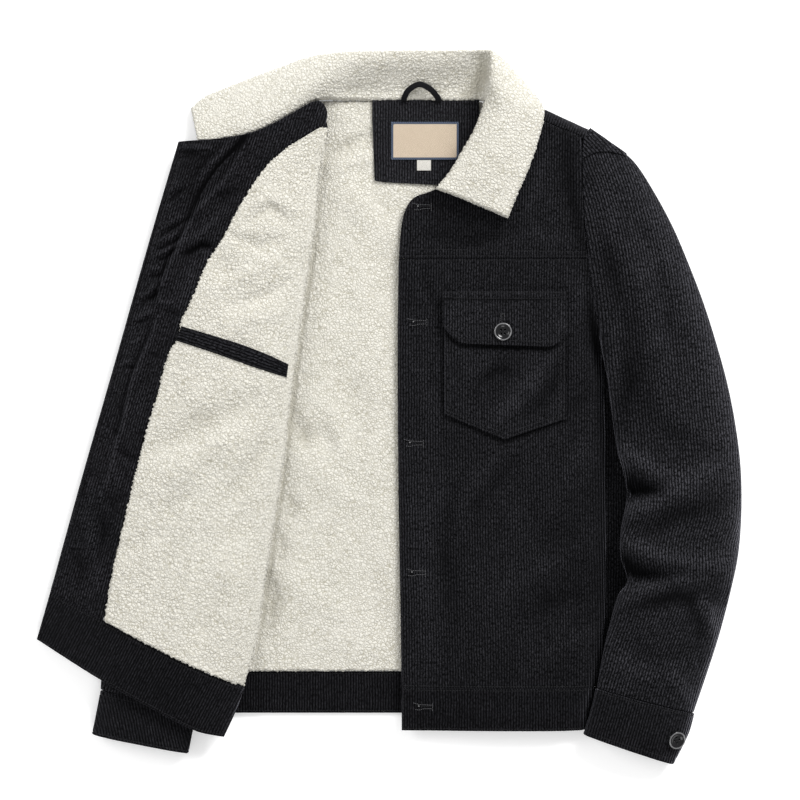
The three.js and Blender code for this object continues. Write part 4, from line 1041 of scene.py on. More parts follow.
# Painted shade along the flap's top seam and inside its lower edge, and a broad painted light: width, shade
# and path
flapPaintedShade = [
    (1.3, -0.85, (60, 119.6), (128, 119.6), (194, 119.6)),
    (1.2, -0.5, (66, 79.5), (80, 74.5), (128, 72.8), (178, 71.6)),
    (14, 0.14, (80, 104), (128, 100), (170, 96)),
]
# Painted shadow on the pocket below the flap's edge, and painted light and shade on its folds: width, shade
# and path
pocketPaintedShade = [
    (2.4, -0.95, (59, 90), (65, 80.5), (73, 73), (81, 68.8), (100, 67.4), (127, 66.6), (155, 65.4),
     (178, 65), (187, 69.6), (194, 76.5)), (12, -0.2, (140, 60), (126, 40), (110, 22)),
    (12, 0.16, (84, 60), (96, 40), (92, 10)),
]

leftFront = {"lap": lapRise, "pocketRise": 0.9, "pocketTop": 127, "flapHead": 128.8, "puff": 1.6,
             "flapGap": 0.9, "flapCurl": 1.6, "flapCorner": 0.8, "flapSwell": 0.8}


def sideShift(y):
    return np.where(np.asarray(y) > 78, 0.3, -1.8 * (1 - step(np.asarray(y, float), -300, -270)))


def sewnSideX(y):
    return sideX(y) - sideShift(y)


def ends(y):
    return level(y, float(frontX(y)), float(sewnSideX(y)))


# A part of the front from one seam to another
def frontPart(y0, y1):
    return cut(ends(y0), ends(y1), alongEdge(frontX, y0, y1, 7), alongEdge(sewnSideX, y0, y1))


def towardsSide(u):
    return u + 0.09 * np.sin(np.pi * u) * u


def frontGrain(x, y, u, v):
    return x - frontX(y), y


def frontRelief(x, y):
    across = share(x, frontX(y), sideX(y))
    return creased(frontCreases, x, y) * step(across, 0, 0.1) * (1 - step(across, 0.97, 1))


def onFront(piece, rise):
    def surface(u, v):
        x, y = piece(towardsSide(u), v)
        top = frontTop(x, y) + rise + frontRelief(x, y)
        return x, y, top, top - lerp(wallOf["front"], 3.4, step(towardsSide(u), 0.93, 1))

    return surface


mainCut = frontPart(hemSeamY, yokeSeamY)


# Near the hem the side reaches under the sleeve, so that no floor shows between them
def underSleeve(u):
    return 1.7 * step(u, 0.975, 1)


def mainFrontSurface(u, v):
    x, y, top, bottom = onFront(mainCut, 0)(u, v)
    return x + underSleeve(u) * (1 - step(y, -282, -258)), y, top, bottom


clothPiece("leftFront", mainFrontSurface, (235, 475), "front", ["left_front"], frontGrain, spacing=2.7,
           relief=frontRelief, napAndPaintedShade=frontPaintedShade, rows={"left": [2.4], "low": [2.2], "high": [2.0]})

bandCut = frontPart(frontHemY, hemSeamY)


def leftBandSurface(u, v):
    x, y, top, bottom = onFront(bandCut, 0.5)(u, v)
    dip = 4 * (1 - step(v, 0, 0.5)) * step(top, 14, 22)
    return x + underSleeve(u), y, top - dip, bottom - dip


clothPiece("leftFrontHemBand", leftBandSurface, (212, 48), "band", ["left_front_hem_band"], frontGrain,
           spacing=3.5, rim=2, rows={"left": [2.4], "low": [2.6], "high": [2.4]}, relief=frontRelief,
           napAndPaintedShade=frontPaintedShade)

yokeSide = through((218.7, 165.3), (214.8, 207.4), (213.2, 240.4), (212.2, 266.8), (211.4, 297.6))
yokeCut = cut(ends(yokeSeamY), shoulderSeam, neckToShoulder, yokeSide)


def yokeSurface(u, v):
    x, y = yokeCut(u, v)
    top = frontTop(x, y) + leftFront["lap"] + frontRelief(x, y) + 0.5 * (1 - step(v * 150, 0, 12))
    return x, y, top, top - wallOf["front"]


clothPiece("leftFrontYoke", yokeSurface, (170, 150), "front", ["left_front_yoke"], frontGrain, spacing=3,
           relief=frontRelief, napAndPaintedShade=frontPaintedShade, rows={"low": [2.0, 7.6], "left": [2.4], "high": [2.2]})

pocketFoot = through((61.1, -6.1), (94, -20), (123.5, -32.4), (127.5, -34.1), (131.5, -32.6),
                     (161, -22.5), (194.7, -11.6))
pocketLeft, pocketRight, pocketTip = 61.1, 194.7, -34.1
pocketCut = strip(pocketFoot, level(leftFront["pocketTop"], pocketLeft, pocketRight))


def puff(u, v):
    bulge = np.sin(np.pi * np.clip(u, 0, 1)) * np.sin(np.pi * np.clip(v, 0, 1))
    return np.maximum(bulge, 0) ** 0.7


def pocketSurface(u, v):
    x, y = pocketCut(u, v)
    rest = frontTop(x, y) + leftFront["pocketRise"] + frontRelief(x, y)
    return x, y, rest + wallOf["pocket"] + leftFront["puff"] * puff(u, v), rest


clothPiece("chestPocket", pocketSurface, (133.6, 148), "pocket", ["chest_pocket"], frontGrain, spacing=2.2,
           rim=1.2, relief=frontRelief, napAndPaintedShade=pocketPaintedShade,
           rows={"left": [1.8, 6.2], "right": [1.8, 6.2], "low": [1.8, 6.2]})

flapFoot = through((59.6, 91), (66, 83), (73, 76.4), (80.5, 72), (100, 70.4), (127.1, 69.4), (155, 68.4),
                   (178, 68), (186, 72.4), (192, 79), (194.6, 88))
flapCut = strip(flapFoot, level(leftFront["flapHead"], 59.4, 195.2))


def flapBottom(x, y):
    pocketU = (x - pocketLeft) / (pocketRight - pocketLeft)
    pocketV = (y - pocketTip) / (leftFront["pocketTop"] - pocketTip)
    return (frontTop(x, y) + frontRelief(x, y) + leftFront["pocketRise"] + wallOf["pocket"]
            + leftFront["flapGap"] + leftFront["puff"] * puff(pocketU, pocketV))


def flapSurface(u, v):
    x, y = flapCut(u, v)
    curl = (leftFront["flapCurl"] * np.exp(-v * 10)
            + leftFront["flapCorner"] * (np.exp(-u * 22) + np.exp((u - 1) * 22)))
    bottom = flapBottom(x, y) + curl
    return x, y, bottom + wallOf["flap"] + leftFront["flapSwell"] * np.sin(np.pi * v), bottom


clothPiece("pocketFlap", flapSurface, (140, 60), "pocket", ["pocket_flap"], frontGrain, spacing=2.5,
           rim=1.4, rows={"low": [5.2], "high": [1.9, 8.0]}, relief=frontRelief, napAndPaintedShade=flapPaintedShade)
print("left front ready")


# Opened right front: shell, facing, pile lining, hem band, welt of the inner pocket

openCreases = [
    (8, -2.8, (-152, 203), (-130, 218), (-108, 203)), (7, 1.5, (-150, 218), (-130, 230), (-112, 222)),
    (8, -2.8, (-172, 188), (-142, 177), (-118, 184)), (8, -3.4, (-170, 110), (-140, 122), (-112, 137)),
    (8, 2.2, (-192, 130), (-160, 142), (-126, 158)), (10, 1.8, (-170, 88), (-140, 100), (-108, 112)),
    (15, -4.2, (-258, -48), (-208, -20), (-152, 6)), (13, 2.6, (-262, -90), (-214, -56), (-158, -26)),
    (11, -4.0, (-170, -98), (-146, -60), (-128, -30)), (13, 2.6, (-196, -120), (-176, -76), (-160, -40)),
    (12, -2.6, (-244, -120), (-230, -104), (-214, -92)),
    (10, -2.6, (-180, -155), (-168, -136), (-160, -118)),
    (10, -3.0, (-210, -255), (-196, -222), (-184, -196)),
    (12, 2.2, (-236, -250), (-222, -206), (-206, -160)),
    (14, 2.2, (-166, -262), (-160, -216), (-152, -170)),
    (9, -2.0, (-284, -160), (-262, -140), (-244, -138)),
]
# The facing's long ridges and troughs beside the piped edge of the lining
facingLines = {
    "ridgeHigh": ((-150, 300), (-160, 283), (-170, 261), (-182, 245), (-196, 231), (-210, 215), (-221, 195),
                  (-228, 179), (-237, 163), (-245, 145), (-250, 131), (-253, 119)),
    "ridgeLow": ((-246, 106), (-254, 98), (-259, 80), (-266.5, 65), (-273, 51), (-279, 36), (-284, 19),
                 (-288.6, -5), (-292.3, -22), (-299.6, -40), (-303, -59), (-308, -79), (-318, -96)),
    "troughHigh": ((-154, 300), (-168, 282), (-186, 261), (-200, 241), (-210, 223), (-217, 208)),
    "troughLow": ((-217, 208), (-228, 192), (-236, 175), (-246, 155), (-254, 134), (-257, 118)),
}
facingCreases = [
    (2.6, 2.6, *facingLines["ridgeHigh"]), (2.6, 2.3, *facingLines["ridgeLow"]),
    (6, -6.0, *facingLines["troughHigh"]), (3.2, -2.4, *facingLines["troughLow"]),
    (4.5, 2.4, (-160, 298), (-178, 284), (-192, 270), (-202, 259), (-212, 247)),
    (5, -2.0, (-178, 292), (-196, 275), (-212, 254), (-216, 240)),
    (2.8, -2.0, (-258, 100), (-264, 80), (-272, 62), (-279, 47), (-284, 32), (-289, 14), (-294, -8),
     (-298, -26)), (3.4, -2.0, (-230, 281), (-216, 280), (-202, 276)),
    (2.8, 1.6, (-228, 287), (-210, 286), (-192, 284)), (3, -1.8, (-241, 227), (-232, 235), (-222, 242)),
    (3, 1.2, (-244, 236), (-236, 243), (-228, 248)), (2.8, -2.8, (-248, 191), (-238, 198), (-223, 207)),
    (2.4, 1.8, (-250, 197), (-242, 202), (-230, 209)), (2.2, 2.4, (-254, 181), (-244, 187), (-231, 192)),
    (2.4, -2.6, (-252, 175), (-242, 180), (-231, 186)), (2.2, 2.4, (-256, 168), (-246, 171), (-233, 179)),
    (2.6, -2.4, (-254, 163), (-245, 165), (-237, 173)),
    (2.6, -2.4, (-262, 145), (-255, 146), (-249, 146)), (2.4, 1.8, (-264, 153), (-258, 154), (-252, 154)),
    (2.4, 2.6, (-274, 120), (-264, 127), (-251, 141)), (3, -2.8, (-268, 119), (-260, 122), (-252, 127)),
    (2.4, 2.2, (-278, 99), (-268, 103), (-260, 106)), (2.8, -2.0, (-276, 93), (-268, 96), (-262, 99)),
    (2.6, 2.0, (-284, 70), (-276, 74), (-270, 77)), (2.6, -2.0, (-290, 46), (-283, 45), (-279, 44)),
    (2.4, 2.0, (-293, 50), (-285, 51), (-280, 50)), (3, -1.6, (-306, -20), (-300, -26), (-296, -30)),
    (3, 1.6, (-318, -22), (-309, -26), (-302, -22)), (3, 2.6, (-254, 113), (-246, 116), (-231, 113)),
    (3, -2.0, (-250, 104), (-240, 106), (-228, 103)),
    (4, -4.2, (-224, 169), (-214, 173), (-204, 179), (-192, 176)),
    (4, 2.6, (-224, 182), (-206, 190), (-190, 205), (-176, 217)),
    (3, 2.2, (-206, 170), (-200, 171), (-192, 169)), (5, -1.8, (-190, 232), (-176, 234), (-164, 240)),
    (3, -1.6, (-262, 60), (-254, 57), (-248, 58)), (3.6, -1.5, (-296, -45), (-284, -54), (-275, -57)),
    (3.4, 2.0, (-294, -56), (-286, -62), (-276, -66)), (5, -1.2, (-312, -92), (-303, -104), (-286, -92)),
    (4, 1.6, (-304, -62), (-300, -72), (-296, -82)), (4, 1.8, (-338, -60), (-330, -80), (-326, -98)),
    (4, -1.6, (-328, -62), (-330, -76), (-336, -92)), (5, 1.4, (-334, -118), (-328, -138), (-332, -160)),
    (5, -1.6, (-318, -112), (-312, -132), (-316, -160)),
    (5, -1.4, (-346, -160), (-338, -178), (-340, -196)),
    (5, 1.3, (-322, -166), (-318, -186), (-326, -204)),
]
# Painted highlight on the facing's ridges, painted shade in its troughs and beside the placket edge, and
# broad painted light and shade: width, shade and path
facingPaintedShade = [
    (1.7, 0.9, *facingLines["ridgeHigh"]), (1.7, 0.7, *facingLines["ridgeLow"]),
    (5, -0.6, *facingLines["troughHigh"]), (3.2, -0.35, *facingLines["troughLow"]),
    (1.2, -0.6, *beside(openX, 3.8, -190, 300, 60)),
    (8, 0.5, (-200, 168), (-209, 158), (-221, 136), (-228, 120)),
    (6, -0.5, (-158, 295), (-182, 262), (-206, 228)), (12, -0.3, (-214, 286), (-226, 262), (-236, 230)),
    (5, 0.25, (-272, 20), (-278, -10), (-282, -34)), (14, -0.22, (-336, -80), (-334, -120), (-344, -170)),
    (10, -0.25, (-300, -96), (-306, -120), (-300, -160)),
]


def openRelief(x, y):
    across = share(x, openX(y), foldX(y))
    return creased(openCreases, x, y) * step(across, 0.2, 0.32) * (1 - step(across, 0.86, 1))


# Painted light along the fold's edge, and painted shade in the hollows of the creases
openShade = [
    (5, -0.5, *beside(foldX, -4, *foldReach)),
    (12, 0.2, (-236, 10), (-208, -8), (-170, 4)), (12, 0.2, (-196, -104), (-176, -66), (-160, -34)),
    (10, 0.22, (-208, -240), (-196, -222), (-188, -206)), (8, 0.2, (-150, 203), (-130, 214), (-110, 203)),
]


def facingRelief(x, y):
    across = share(x, openX(y), foldX(y))
    return creased(facingCreases, x, y) * step(across, 0, 0.05)


openPieces = {"liningSpacing": 1.3, "curl": 4.0, "lift": 2.2, "facingShare": 0.297}
openHem = through((-388.3, -254.7), (-321.2, -294.2), (-265.1, -325.1), (-211.8, -353.1), (-181, -361.4))
openHemSeam = through((-373.4, -202.5), (-313, -232.7), (-265.1, -258), (-208.9, -285.5), (-158.4, -306.9))
facingLine = through((-313, -232.7), (-303.1, -175.5), (-286.6, -105.1), (-269, -34.7), (-253.6, 18.2),
                     (-240.5, 64), (-232, 76), (-227.5, 98), (-219.5, 113), (-199.7, 159),
                     (-183.2, 185.4), (-161.8, 224.4), (-135.1, 263.7), (-114.1, 283.2), (-92, 298),
                     (-72.1, 309.5))
openNeck = through((-231.6, 294.2), (-191.3, 295.4), (-149.2, 302), (-114.1, 318.5), (-86.4, 335),
                   (-77, 338.4))


placket = alongEdge(openX, -202.5, 294.2, 5)
facingSide = Line(facingLine.x[:-1], facingLine.y[:-1]).then(
    (-77, 307), (-71, 311.5), (-68, 317), (-67.2, 324), (-68.3, 330.5), (-72, 336), (-77, 338.6))
facingCut = cut(Stretch(openHemSeam, 0, openPieces["facingShare"]), openNeck, placket, facingSide, 0.4)
liningCut = cut(Stretch(openHemSeam, openPieces["facingShare"], 1), straight((-72.1, 309.5), (-66, 308)),
                facingLine, alongEdge(foldX, -306.9, 308), 0.4)


def openGrain(x, y, u, v):
    return (x - openX(y)) * math.cos(math.radians(16)), y


def facingSurface(u, v):
    x, y = facingCut(u, v)
    top = openTop(x, y) - facingDrop + facingRelief(x, y) * (1 - step(u, 0.86, 1) * 0.8)
    return x, y, top, top - wallOf["facing"]


clothPiece("rightFrontFacing", facingSurface, (75, 510), "facing", ["right_front_facing"], openGrain,
           spacing=1.5, rows={"left": [3.6]}, relief=facingRelief, napAndPaintedShade=facingPaintedShade, wearAndPaintedLight=0.32)


shellCut = cut(openHemSeam, openNeck.then((-66, 308)), placket, alongEdge(foldX, -306.9, 308), 0.6)


def shellSurface(u, v):
    x, y = shellCut(towardsSide(u) * 0.985, v)
    top = openTop(x, y) - wallOf["pile"] - shellDrop
    return x, y + 3 * (1 - v) ** 8, top, top - wallOf["shell"]


clothPiece("rightFrontShell", shellSurface, (220, 560), "front", ["right_front_shell"], openGrain,
           spacing=6, rim=1, edge=0.5)


def openLiningSurface(u, v):
    x, y = liningCut(towardsSide(u), v)
    return x, y, openTop(x, y) + openRelief(x, y)


pilePiece("rightFrontLining", openLiningSurface, (150, 600), ["right_front_lining"],
          openPieces["liningSpacing"], wallOf["pile"], 3, openPieces["curl"], openPieces["lift"],
          relief=openRelief, shade=openShade)

openBandCut = cut(openHem, openHemSeam, straight(openHem(0), openHemSeam(0)),
                  through((-181, -361.4), (-168.3, -333.9), (-158.4, -306.9)), 0.3)


def openBandSurface(u, v):
    x, y = openBandCut(u, v)
    ridge = 1.2 * bell(v - 0.42, 0.13) * step(u, 0.3, 0.5)
    top = openTop(x - 7 * step(u, 0.88, 1), y) - facingDrop + ridge
    return x, y, top, top - wallOf["band"] - 0.8


clothPiece("rightFrontHemBand", openBandSurface, (235, 55), "band", ["right_front_hem_band"],
           leaning(0.89, 0.46), spacing=3, rim=2,
           rows={"low": [2.6], "high": [2.4]})

weltUpper = through((-226, 90), (-184.3, 77.6), (-157.9, 69.2), (-128.2, 57.4), (-109.5, 48.5))
weltLower = through((-232.4, 74.4), (-188.7, 60), (-153.5, 47.3), (-128.2, 39.1), (-111.5, 34))
weltCut = strip(weltLower, weltUpper)
weltSize = (126, 16)


def weltSurface(u, v):
    x, y = weltCut(u, v)
    bottom = openTop(x, y) + openRelief(x, y) + 1 - 2.6 * np.exp(-v * 9)
    return x, y, bottom + 1.8, bottom


clothPiece("innerPocketWelt", weltSurface, weltSize, "facing", ["inner_pocket_welt"],
           lambda x, y, u, v: (v * weltSize[1], u * weltSize[0]), spacing=2, rim=0.8,
           rows={"low": [1.4], "high": [1.4]}, pucker=0.15)

foldLeft = through((-196, -345), (-194, -290), (-188, -200), (-180, -128), (-173, -60), (-165, 10),
                   (-155, 78), (-144, 146), (-133, 206), (-124, 252), (-114, 274))
foldRight = through((-188, -345), (-170, -290), (-152, -200), (-139.5, -128), (-130, -60), (-121.5, 10),
                    (-111.5, 78), (-102, 146), (-94.5, 206), (-93, 252), (-92, 274))
foldCut = cut(straight(foldLeft(0), foldRight(0)), straight(foldLeft(1), foldRight(1)), foldLeft, foldRight)


def sideFoldSurface(u, v):
    x, y = foldCut(u, v)
    return x, y, openTop(x, y) - openWall - 2.1, backTop(x, y) + 0.6


clothPiece("sideFold", sideFoldSurface, (44, 620), "front", ["side_fold"], spacing=7, rim=3)
print("right front ready")


# Collar: pile leaf over its thin under collar

collarPieces = {"size": (620, 62), "spacing": 1.05, "curl": 4.2, "lift": 1.4}
# Painted shade in the roll at the collar's corner and in its hollows, and painted light on its left end:
# width, amount and path
collarShade = [
    (34, -0.4, (-210, 320), (-150, 350), (-70, 376)),
    (9, 1.0, (90, 346), (98, 354), (103, 366), (103, 384)), (5, 0.3, (70, 344), (84, 346), (98, 345)),
    (16, 0.3, (114, 246), (122, 262), (126, 278)), (10, 0.22, (-80, 352), (-96, 344), (-116, 330)),
    (12, 0.15, (20, 362), (50, 360), (80, 364)), (30, -0.1, (134, 350), (134, 290), (112, 234)),
]


# Its seam edge reaches over the cloth that it is sewn to
def collarSurface(u, v):
    x, y, top = collarAt(u, v)
    return x, y - 1.2 * (1 - v) ** 8, top


def underCollarSurface(u, v):
    x, y, top = collarAt(u, v)
    top = top - wallOf["collarPile"] - seamGap
    return x, y, top, np.maximum(top - wallOf["underCollar"], 0)


pilePiece("collarPile", collarSurface, collarPieces["size"], ["collar_pile"], collarPieces["spacing"],
          wallOf["collarPile"], 4, collarPieces["curl"], collarPieces["lift"], shade=collarShade)
clothPiece("underCollar", underCollarSurface, collarPieces["size"], "front", ["under_collar"], spacing=5,
           rim=0.7, grain=lambda x, y, u, v: (u * 560, v * 62), edge=0.5)
print("collar ready")


# Sleeves and cuffs, laid nearly flat, with creases at elbow and cuff

sleeveCreases = [
    (10, -2.6, (248, -66), (262, -88)), (9, -2.6, (250, -156), (262, -176)),
    (9, 5.0, (243, -44), (283, -66), (312, -84)), (7, -5, (252, -90), (280, -92), (306, -95)),
    (11, -3.0, (272, -136), (324, -112), (374, -101)), (9, 3.6, (262, -112), (300, -96), (352, -70)),
    (9, 5.4, (258, -152), (300, -166), (376, -172)), (7, -5, (254, -178), (276, -183), (302, -188)),
    (10, -3.6, (276, -216), (311, -204), (354, -205)), (7, 3.6, (276, -194), (304, -190), (342, -186)),
    (7, 3.4, (341, -206), (350, -226), (356, -246)), (7, -2.6, (330, -214), (338, -234), (342, -252)),
    (7, 2.8, (311, -289), (321, -306), (329, -324)), (9, -2.2, (262, -262), (290, -272), (330, -268)),
    (8, 2.0, (250, -282), (280, -294), (318, -296)), (10, 2.6, (243, 20), (250, 60), (246, 88)),
    (9, -3.4, (254, -20), (262, 20), (260, 60)), (14, 2.0, (262, 170), (286, 110), (300, 40)),
    (12, -2.2, (282, 190), (300, 130), (310, 70)), (12, 2.0, (296, 10), (330, -20), (366, -36)),
    (12, -2.2, (286, -4), (316, -30), (356, -50)), (8, 2.0, (236, 250), (240, 210), (250, 170)),
    (8, -2.2, (232, 190), (238, 160), (250, 130)), (9, -2.0, (262, 226), (274, 200), (290, 176)),
]
# Painted light and shade on the sleeve: painted shadow in the elbow notches and troughs, painted highlight
# along the outer edge and on fold ridges: width, shade and path
sleevePaintedShade = [
    (12, -0.65, (246, -62), (262, -88)), (9, -0.6, (262, -74), (282, -88)),
    (5, -0.5, (276, -84), (303, -90)), (12, -0.65, (244, -152), (258, -176)),
    (9, -0.6, (256, -162), (276, -178)), (5, -0.5, (272, -176), (300, -180)),
    (20, 0.5, (262, 276), (290, 232), (318, 178), (342, 114), (364, 40), (378, -30), (384, -100),
     (380, -160)), (14, 0.55, (330, 150), (350, 90), (366, 40), (380, -30), (386, -100), (384, -160)),
    (26, 0.3, (258, 250), (284, 190), (308, 120)), (2, 0.9, (384, -36), (388, -70), (389, -102)),
    (22, -0.4, (258, 118), (268, 60), (280, 4), (290, -24)),
    (12, -0.35, (244, 190), (248, 150), (252, 110)),
    (9, 0.6, (262, -44), (290, -70), (326, -76), (374, -54)),
    (11, -0.3, (270, -138), (318, -116), (372, -104)),
    (8, 0.95, (258, -138), (296, -160), (336, -172), (376, -178)),
    (10, -0.45, (270, -216), (308, -206), (352, -206)), (9, 0.4, (258, -112), (276, -108), (300, -100)),
    (8, 0.4, (262, -196), (284, -194), (310, -190)), (6, 0.6, (343, -206), (352, -228), (357, -250)),
    (8, -0.4, (328, -214), (336, -240), (338, -262)), (5, 0.5, (312, -289), (321, -306), (328, -322)),
    (20, 0.12, (250, -240), (262, -270), (256, -300)),
]
# The tube's section: fullness of its top and underside, how far the underside drops, and its hollow's loft
sleevePieces = {"around": 104, "rim": 1.4, "rest": 2.8, "topFull": 0.85, "underFull": 0.8, "drop": 1.28,
                "loft": 6, "below": 2.2, "free": 100}
grainDrift = table("y x", (-380, -4), (-300, 16), (-230, 38), (-190, 50), (-150, 50), (-110, 60), (-50, 59),
                   (0, 55), (50, 51), (100, 47), (150, 41), (200, 32), (240, 22), (270, 12), (310, 0))


# Points of a flattened tube: ring counts along its rings and turn goes round from the outer side over the
# top; inside is the depth below the outer face
def sleevePoint(rows, ring, turn, inside, grow, creases):
    form, at = sleevePieces, rowAt(rows, ring)
    angle = 2 * np.pi * turn
    c, s = np.cos(angle), np.sin(angle)
    halfWidth = np.hypot(at["outerX"] - at["innerX"], at["outerY"] - at["innerY"]) / 2
    top = at["top"]
    hip = top * np.where(c < 0, lerp(0.5, innerHip, -c), lerp(0.5, outerHip, c))
    t = (1 + c * (halfWidth + grow - inside) / halfWidth) / 2
    bend = np.clip(t, 0, 1)
    hole = armhole(bend)
    x, y = (lerp(at["inner" + axis], at["outer" + axis], t)
            + at["bow"] * (hole[k] - lerp(rows["inner" + axis][0], rows["outer" + axis][0], bend))
            for k, axis in enumerate("XY"))
    crease = folds(creases, x, y)
    if rows is leftRings:
        crease = crease + creased(sleeveCreases, x, y)
    # The left tube rests on the back panel, and the right one lies below the opened front
    if rows is leftRings or rows is leftCuffRings:
        head = 1 - step(ring, 0.1, 0.5) if rows is leftRings else 0
        rest, roof = form["rest"] * np.maximum(1 - step(c, -0.35, 0.05), head), form["free"]
    else:
        rest, roof = 0, openTop(x, y) - openWall - form["below"]
    over, under = np.maximum(s, 0), np.maximum(-s, 0)
    crown = np.minimum(hip + (top - hip) * over ** form["topFull"], roof)
    upper = crown + crease * step(s, 0.1, 0.5) + (grow - inside) * over
    lower = np.minimum(hip, roof) * (1 - form["drop"] * under ** form["underFull"]) - (grow - inside) * under
    upper, lower = np.maximum(upper, rest + inside + form["loft"] * over), np.maximum(lower, rest + inside)
    return np.stack([x, y, np.where(s >= 0, upper, lower)], -1)


def sleevePiece(name, rows, reach, lookName, standsFor, wall, grow, creases, drift, spacing=4,
                seams=()):
    rim, around = sleevePieces["rim"], sleevePieces["around"]
    t = gridLines(reach, spacing, rim, 3, seams)
    turn = np.arange(around) / around
    t, turn = np.meshgrid(t, turn, indexing="ij")
    away = np.minimum(t, 1 - t) * reach
    pinch = (1 - rounded(away, rim)) * wall * 0.35
    ring = t * (len(rows["top"]) - 1)

    # Rows of stitches draw the cloth in and gather it a little
    def drawn(t, turn):
        total = np.zeros_like(t)
        for k, seam in enumerate(seams):
            total -= stitchWay["depth"] * bell(t * reach - seam, stitchWay["width"])
            total += 0.35 * ripple(turn * 250, 40 + k) * bell(t * reach - seam, 6)
        return total

    half = np.linspace(-0.03, 0.53, 200)
    for seam in seams:
        place = np.full_like(half, seam / reach)
        at = sleevePoint(rows, place * (len(rows["top"]) - 1), half, 0, grow + drawn(place, half), creases)
        sewAlong(lambda u, v: (u[:, 0], u[:, 1], u[:, 2]), at, half)
    outer = sleevePoint(rows, ring, turn, pinch, grow + drawn(t, turn), creases)
    inner = sleevePoint(rows, ring, turn, wall - pinch, grow, creases)
    rings = t.shape[0]
    count = rings * around
    j = np.arange(around)
    near = np.stack([j, (j + 1) % around], 1)
    mouth = np.stack([near[:, 1], near[:, 0], near[:, 0] + count, near[:, 1] + count], 1)
    head = mouth[:, [1, 0, 3, 2]] + (rings - 1) * around
    quads = np.concatenate([tubeQuads(rings, around), tubeQuads(rings, around, count, True), mouth, head])
    # The grain follows the top face and goes on round the sides by the cloth's own length
    leap = np.diff(np.concatenate([outer, outer[:, :1]], 1), axis=1)
    flat = np.hypot(leap[..., 0], leap[..., 1])
    extra = np.cumsum(np.linalg.norm(leap, axis=-1) - flat, axis=1)
    middle = extra[:, around // 4][:, None]
    side = np.sign(np.cos(2 * np.pi * turn) + 1e-9)
    more = np.abs(np.concatenate([np.zeros((rings, 1)), extra[:, :-1]], 1) - middle)
    more = np.where(turn > 0.75, np.abs(extra[:, -1:] - extra) + middle, more)
    across = outer[..., 0] - drift(outer[..., 1]) + side * more * 0.8
    cloth = np.stack([across, outer[..., 1], away], -1).reshape(-1, 3)
    points = np.concatenate([outer.reshape(-1, 3), inner.reshape(-1, 3)])
    # Painted highlight on crease ridges and painted shade in troughs, with the sleeve's painted light and
    # shade paths
    paintedShading = paintedShadingOf(lambda x, y: creased(sleeveCreases, x, y) * 0.6, sleevePaintedShade, outer[..., 0], outer[..., 1])
    return makePiece(name, points, quads, lookName, standsFor,
                     {"cloth": np.tile(cloth, (2, 1)), "paintedShading": paintedShading})


def sleeveDrift(y):
    return read(grainDrift, "y", "x", y)


def cuffDrift(y):
    return (y + 330) * 0.28


sleevePiece("leftSleeve", leftRings, 500, "sleeve", ["left_sleeve"], wallOf["sleeve"], 0, sleeveFolds,
            sleeveDrift)
cuffWall = wallOf["band"] - 1
cuffGrow = 0.3  # the left cuff lies this much outside the sleeve's face
sleevePiece("leftCuff", leftCuffRings, 54, "cuff", ["left_cuff"], cuffWall, cuffGrow, noFolds, cuffDrift,
            3, (3.0, 49.5))
sleevePiece("rightSleeve", rightRings, 580, "sleeve", ["right_sleeve"], wallOf["sleeve"], 0, noFolds,
            lambda y: y * 0.25, 7)
sleevePiece("rightCuff", rightCuffRings, 48, "cuff", ["right_cuff"], cuffWall, 0, noFolds,
            lambda y: y * -0.2, 4, (3.0, 44))


def capSurface(u, v):
    ring, turn = lerp(0.03, 1.7, u), lerp(lerp(0.13, 0.035, u), -0.005, v)
    at = sleevePoint(leftRings, ring, turn, 0, lerp(0.4, 1.2, v), sleeveFolds)
    return at[..., 0], at[..., 1], at[..., 2] + 1.7, at[..., 2] + 0.4


clothPiece("leftSleeveCap", capSurface, (60, 22), "sleeve", ["left_sleeve_cap"], spacing=2.5, rim=0.7,
           grain=leaning(0.75, -0.66))
print("sleeves ready")


# Four-hole buttons, with a raised rim and a shallow dish

buttonForm = {"radius": 10, "thick": 3.4, "holeRadius": 1.0, "holeStep": 2.1, "holeDepth": 1.9, "rim": 2.3,
              "dish": 1.5, "floor": 3.9, "wall": 6.6, "bead": 0.55, "lip": 1.5, "foot": 0.93, "gap": 0.8,
              "inset": 17, "wearAndPaintedLight": (1.9, 1.4, 0.7, 0.3), "fine": 4.4, "around": 64}


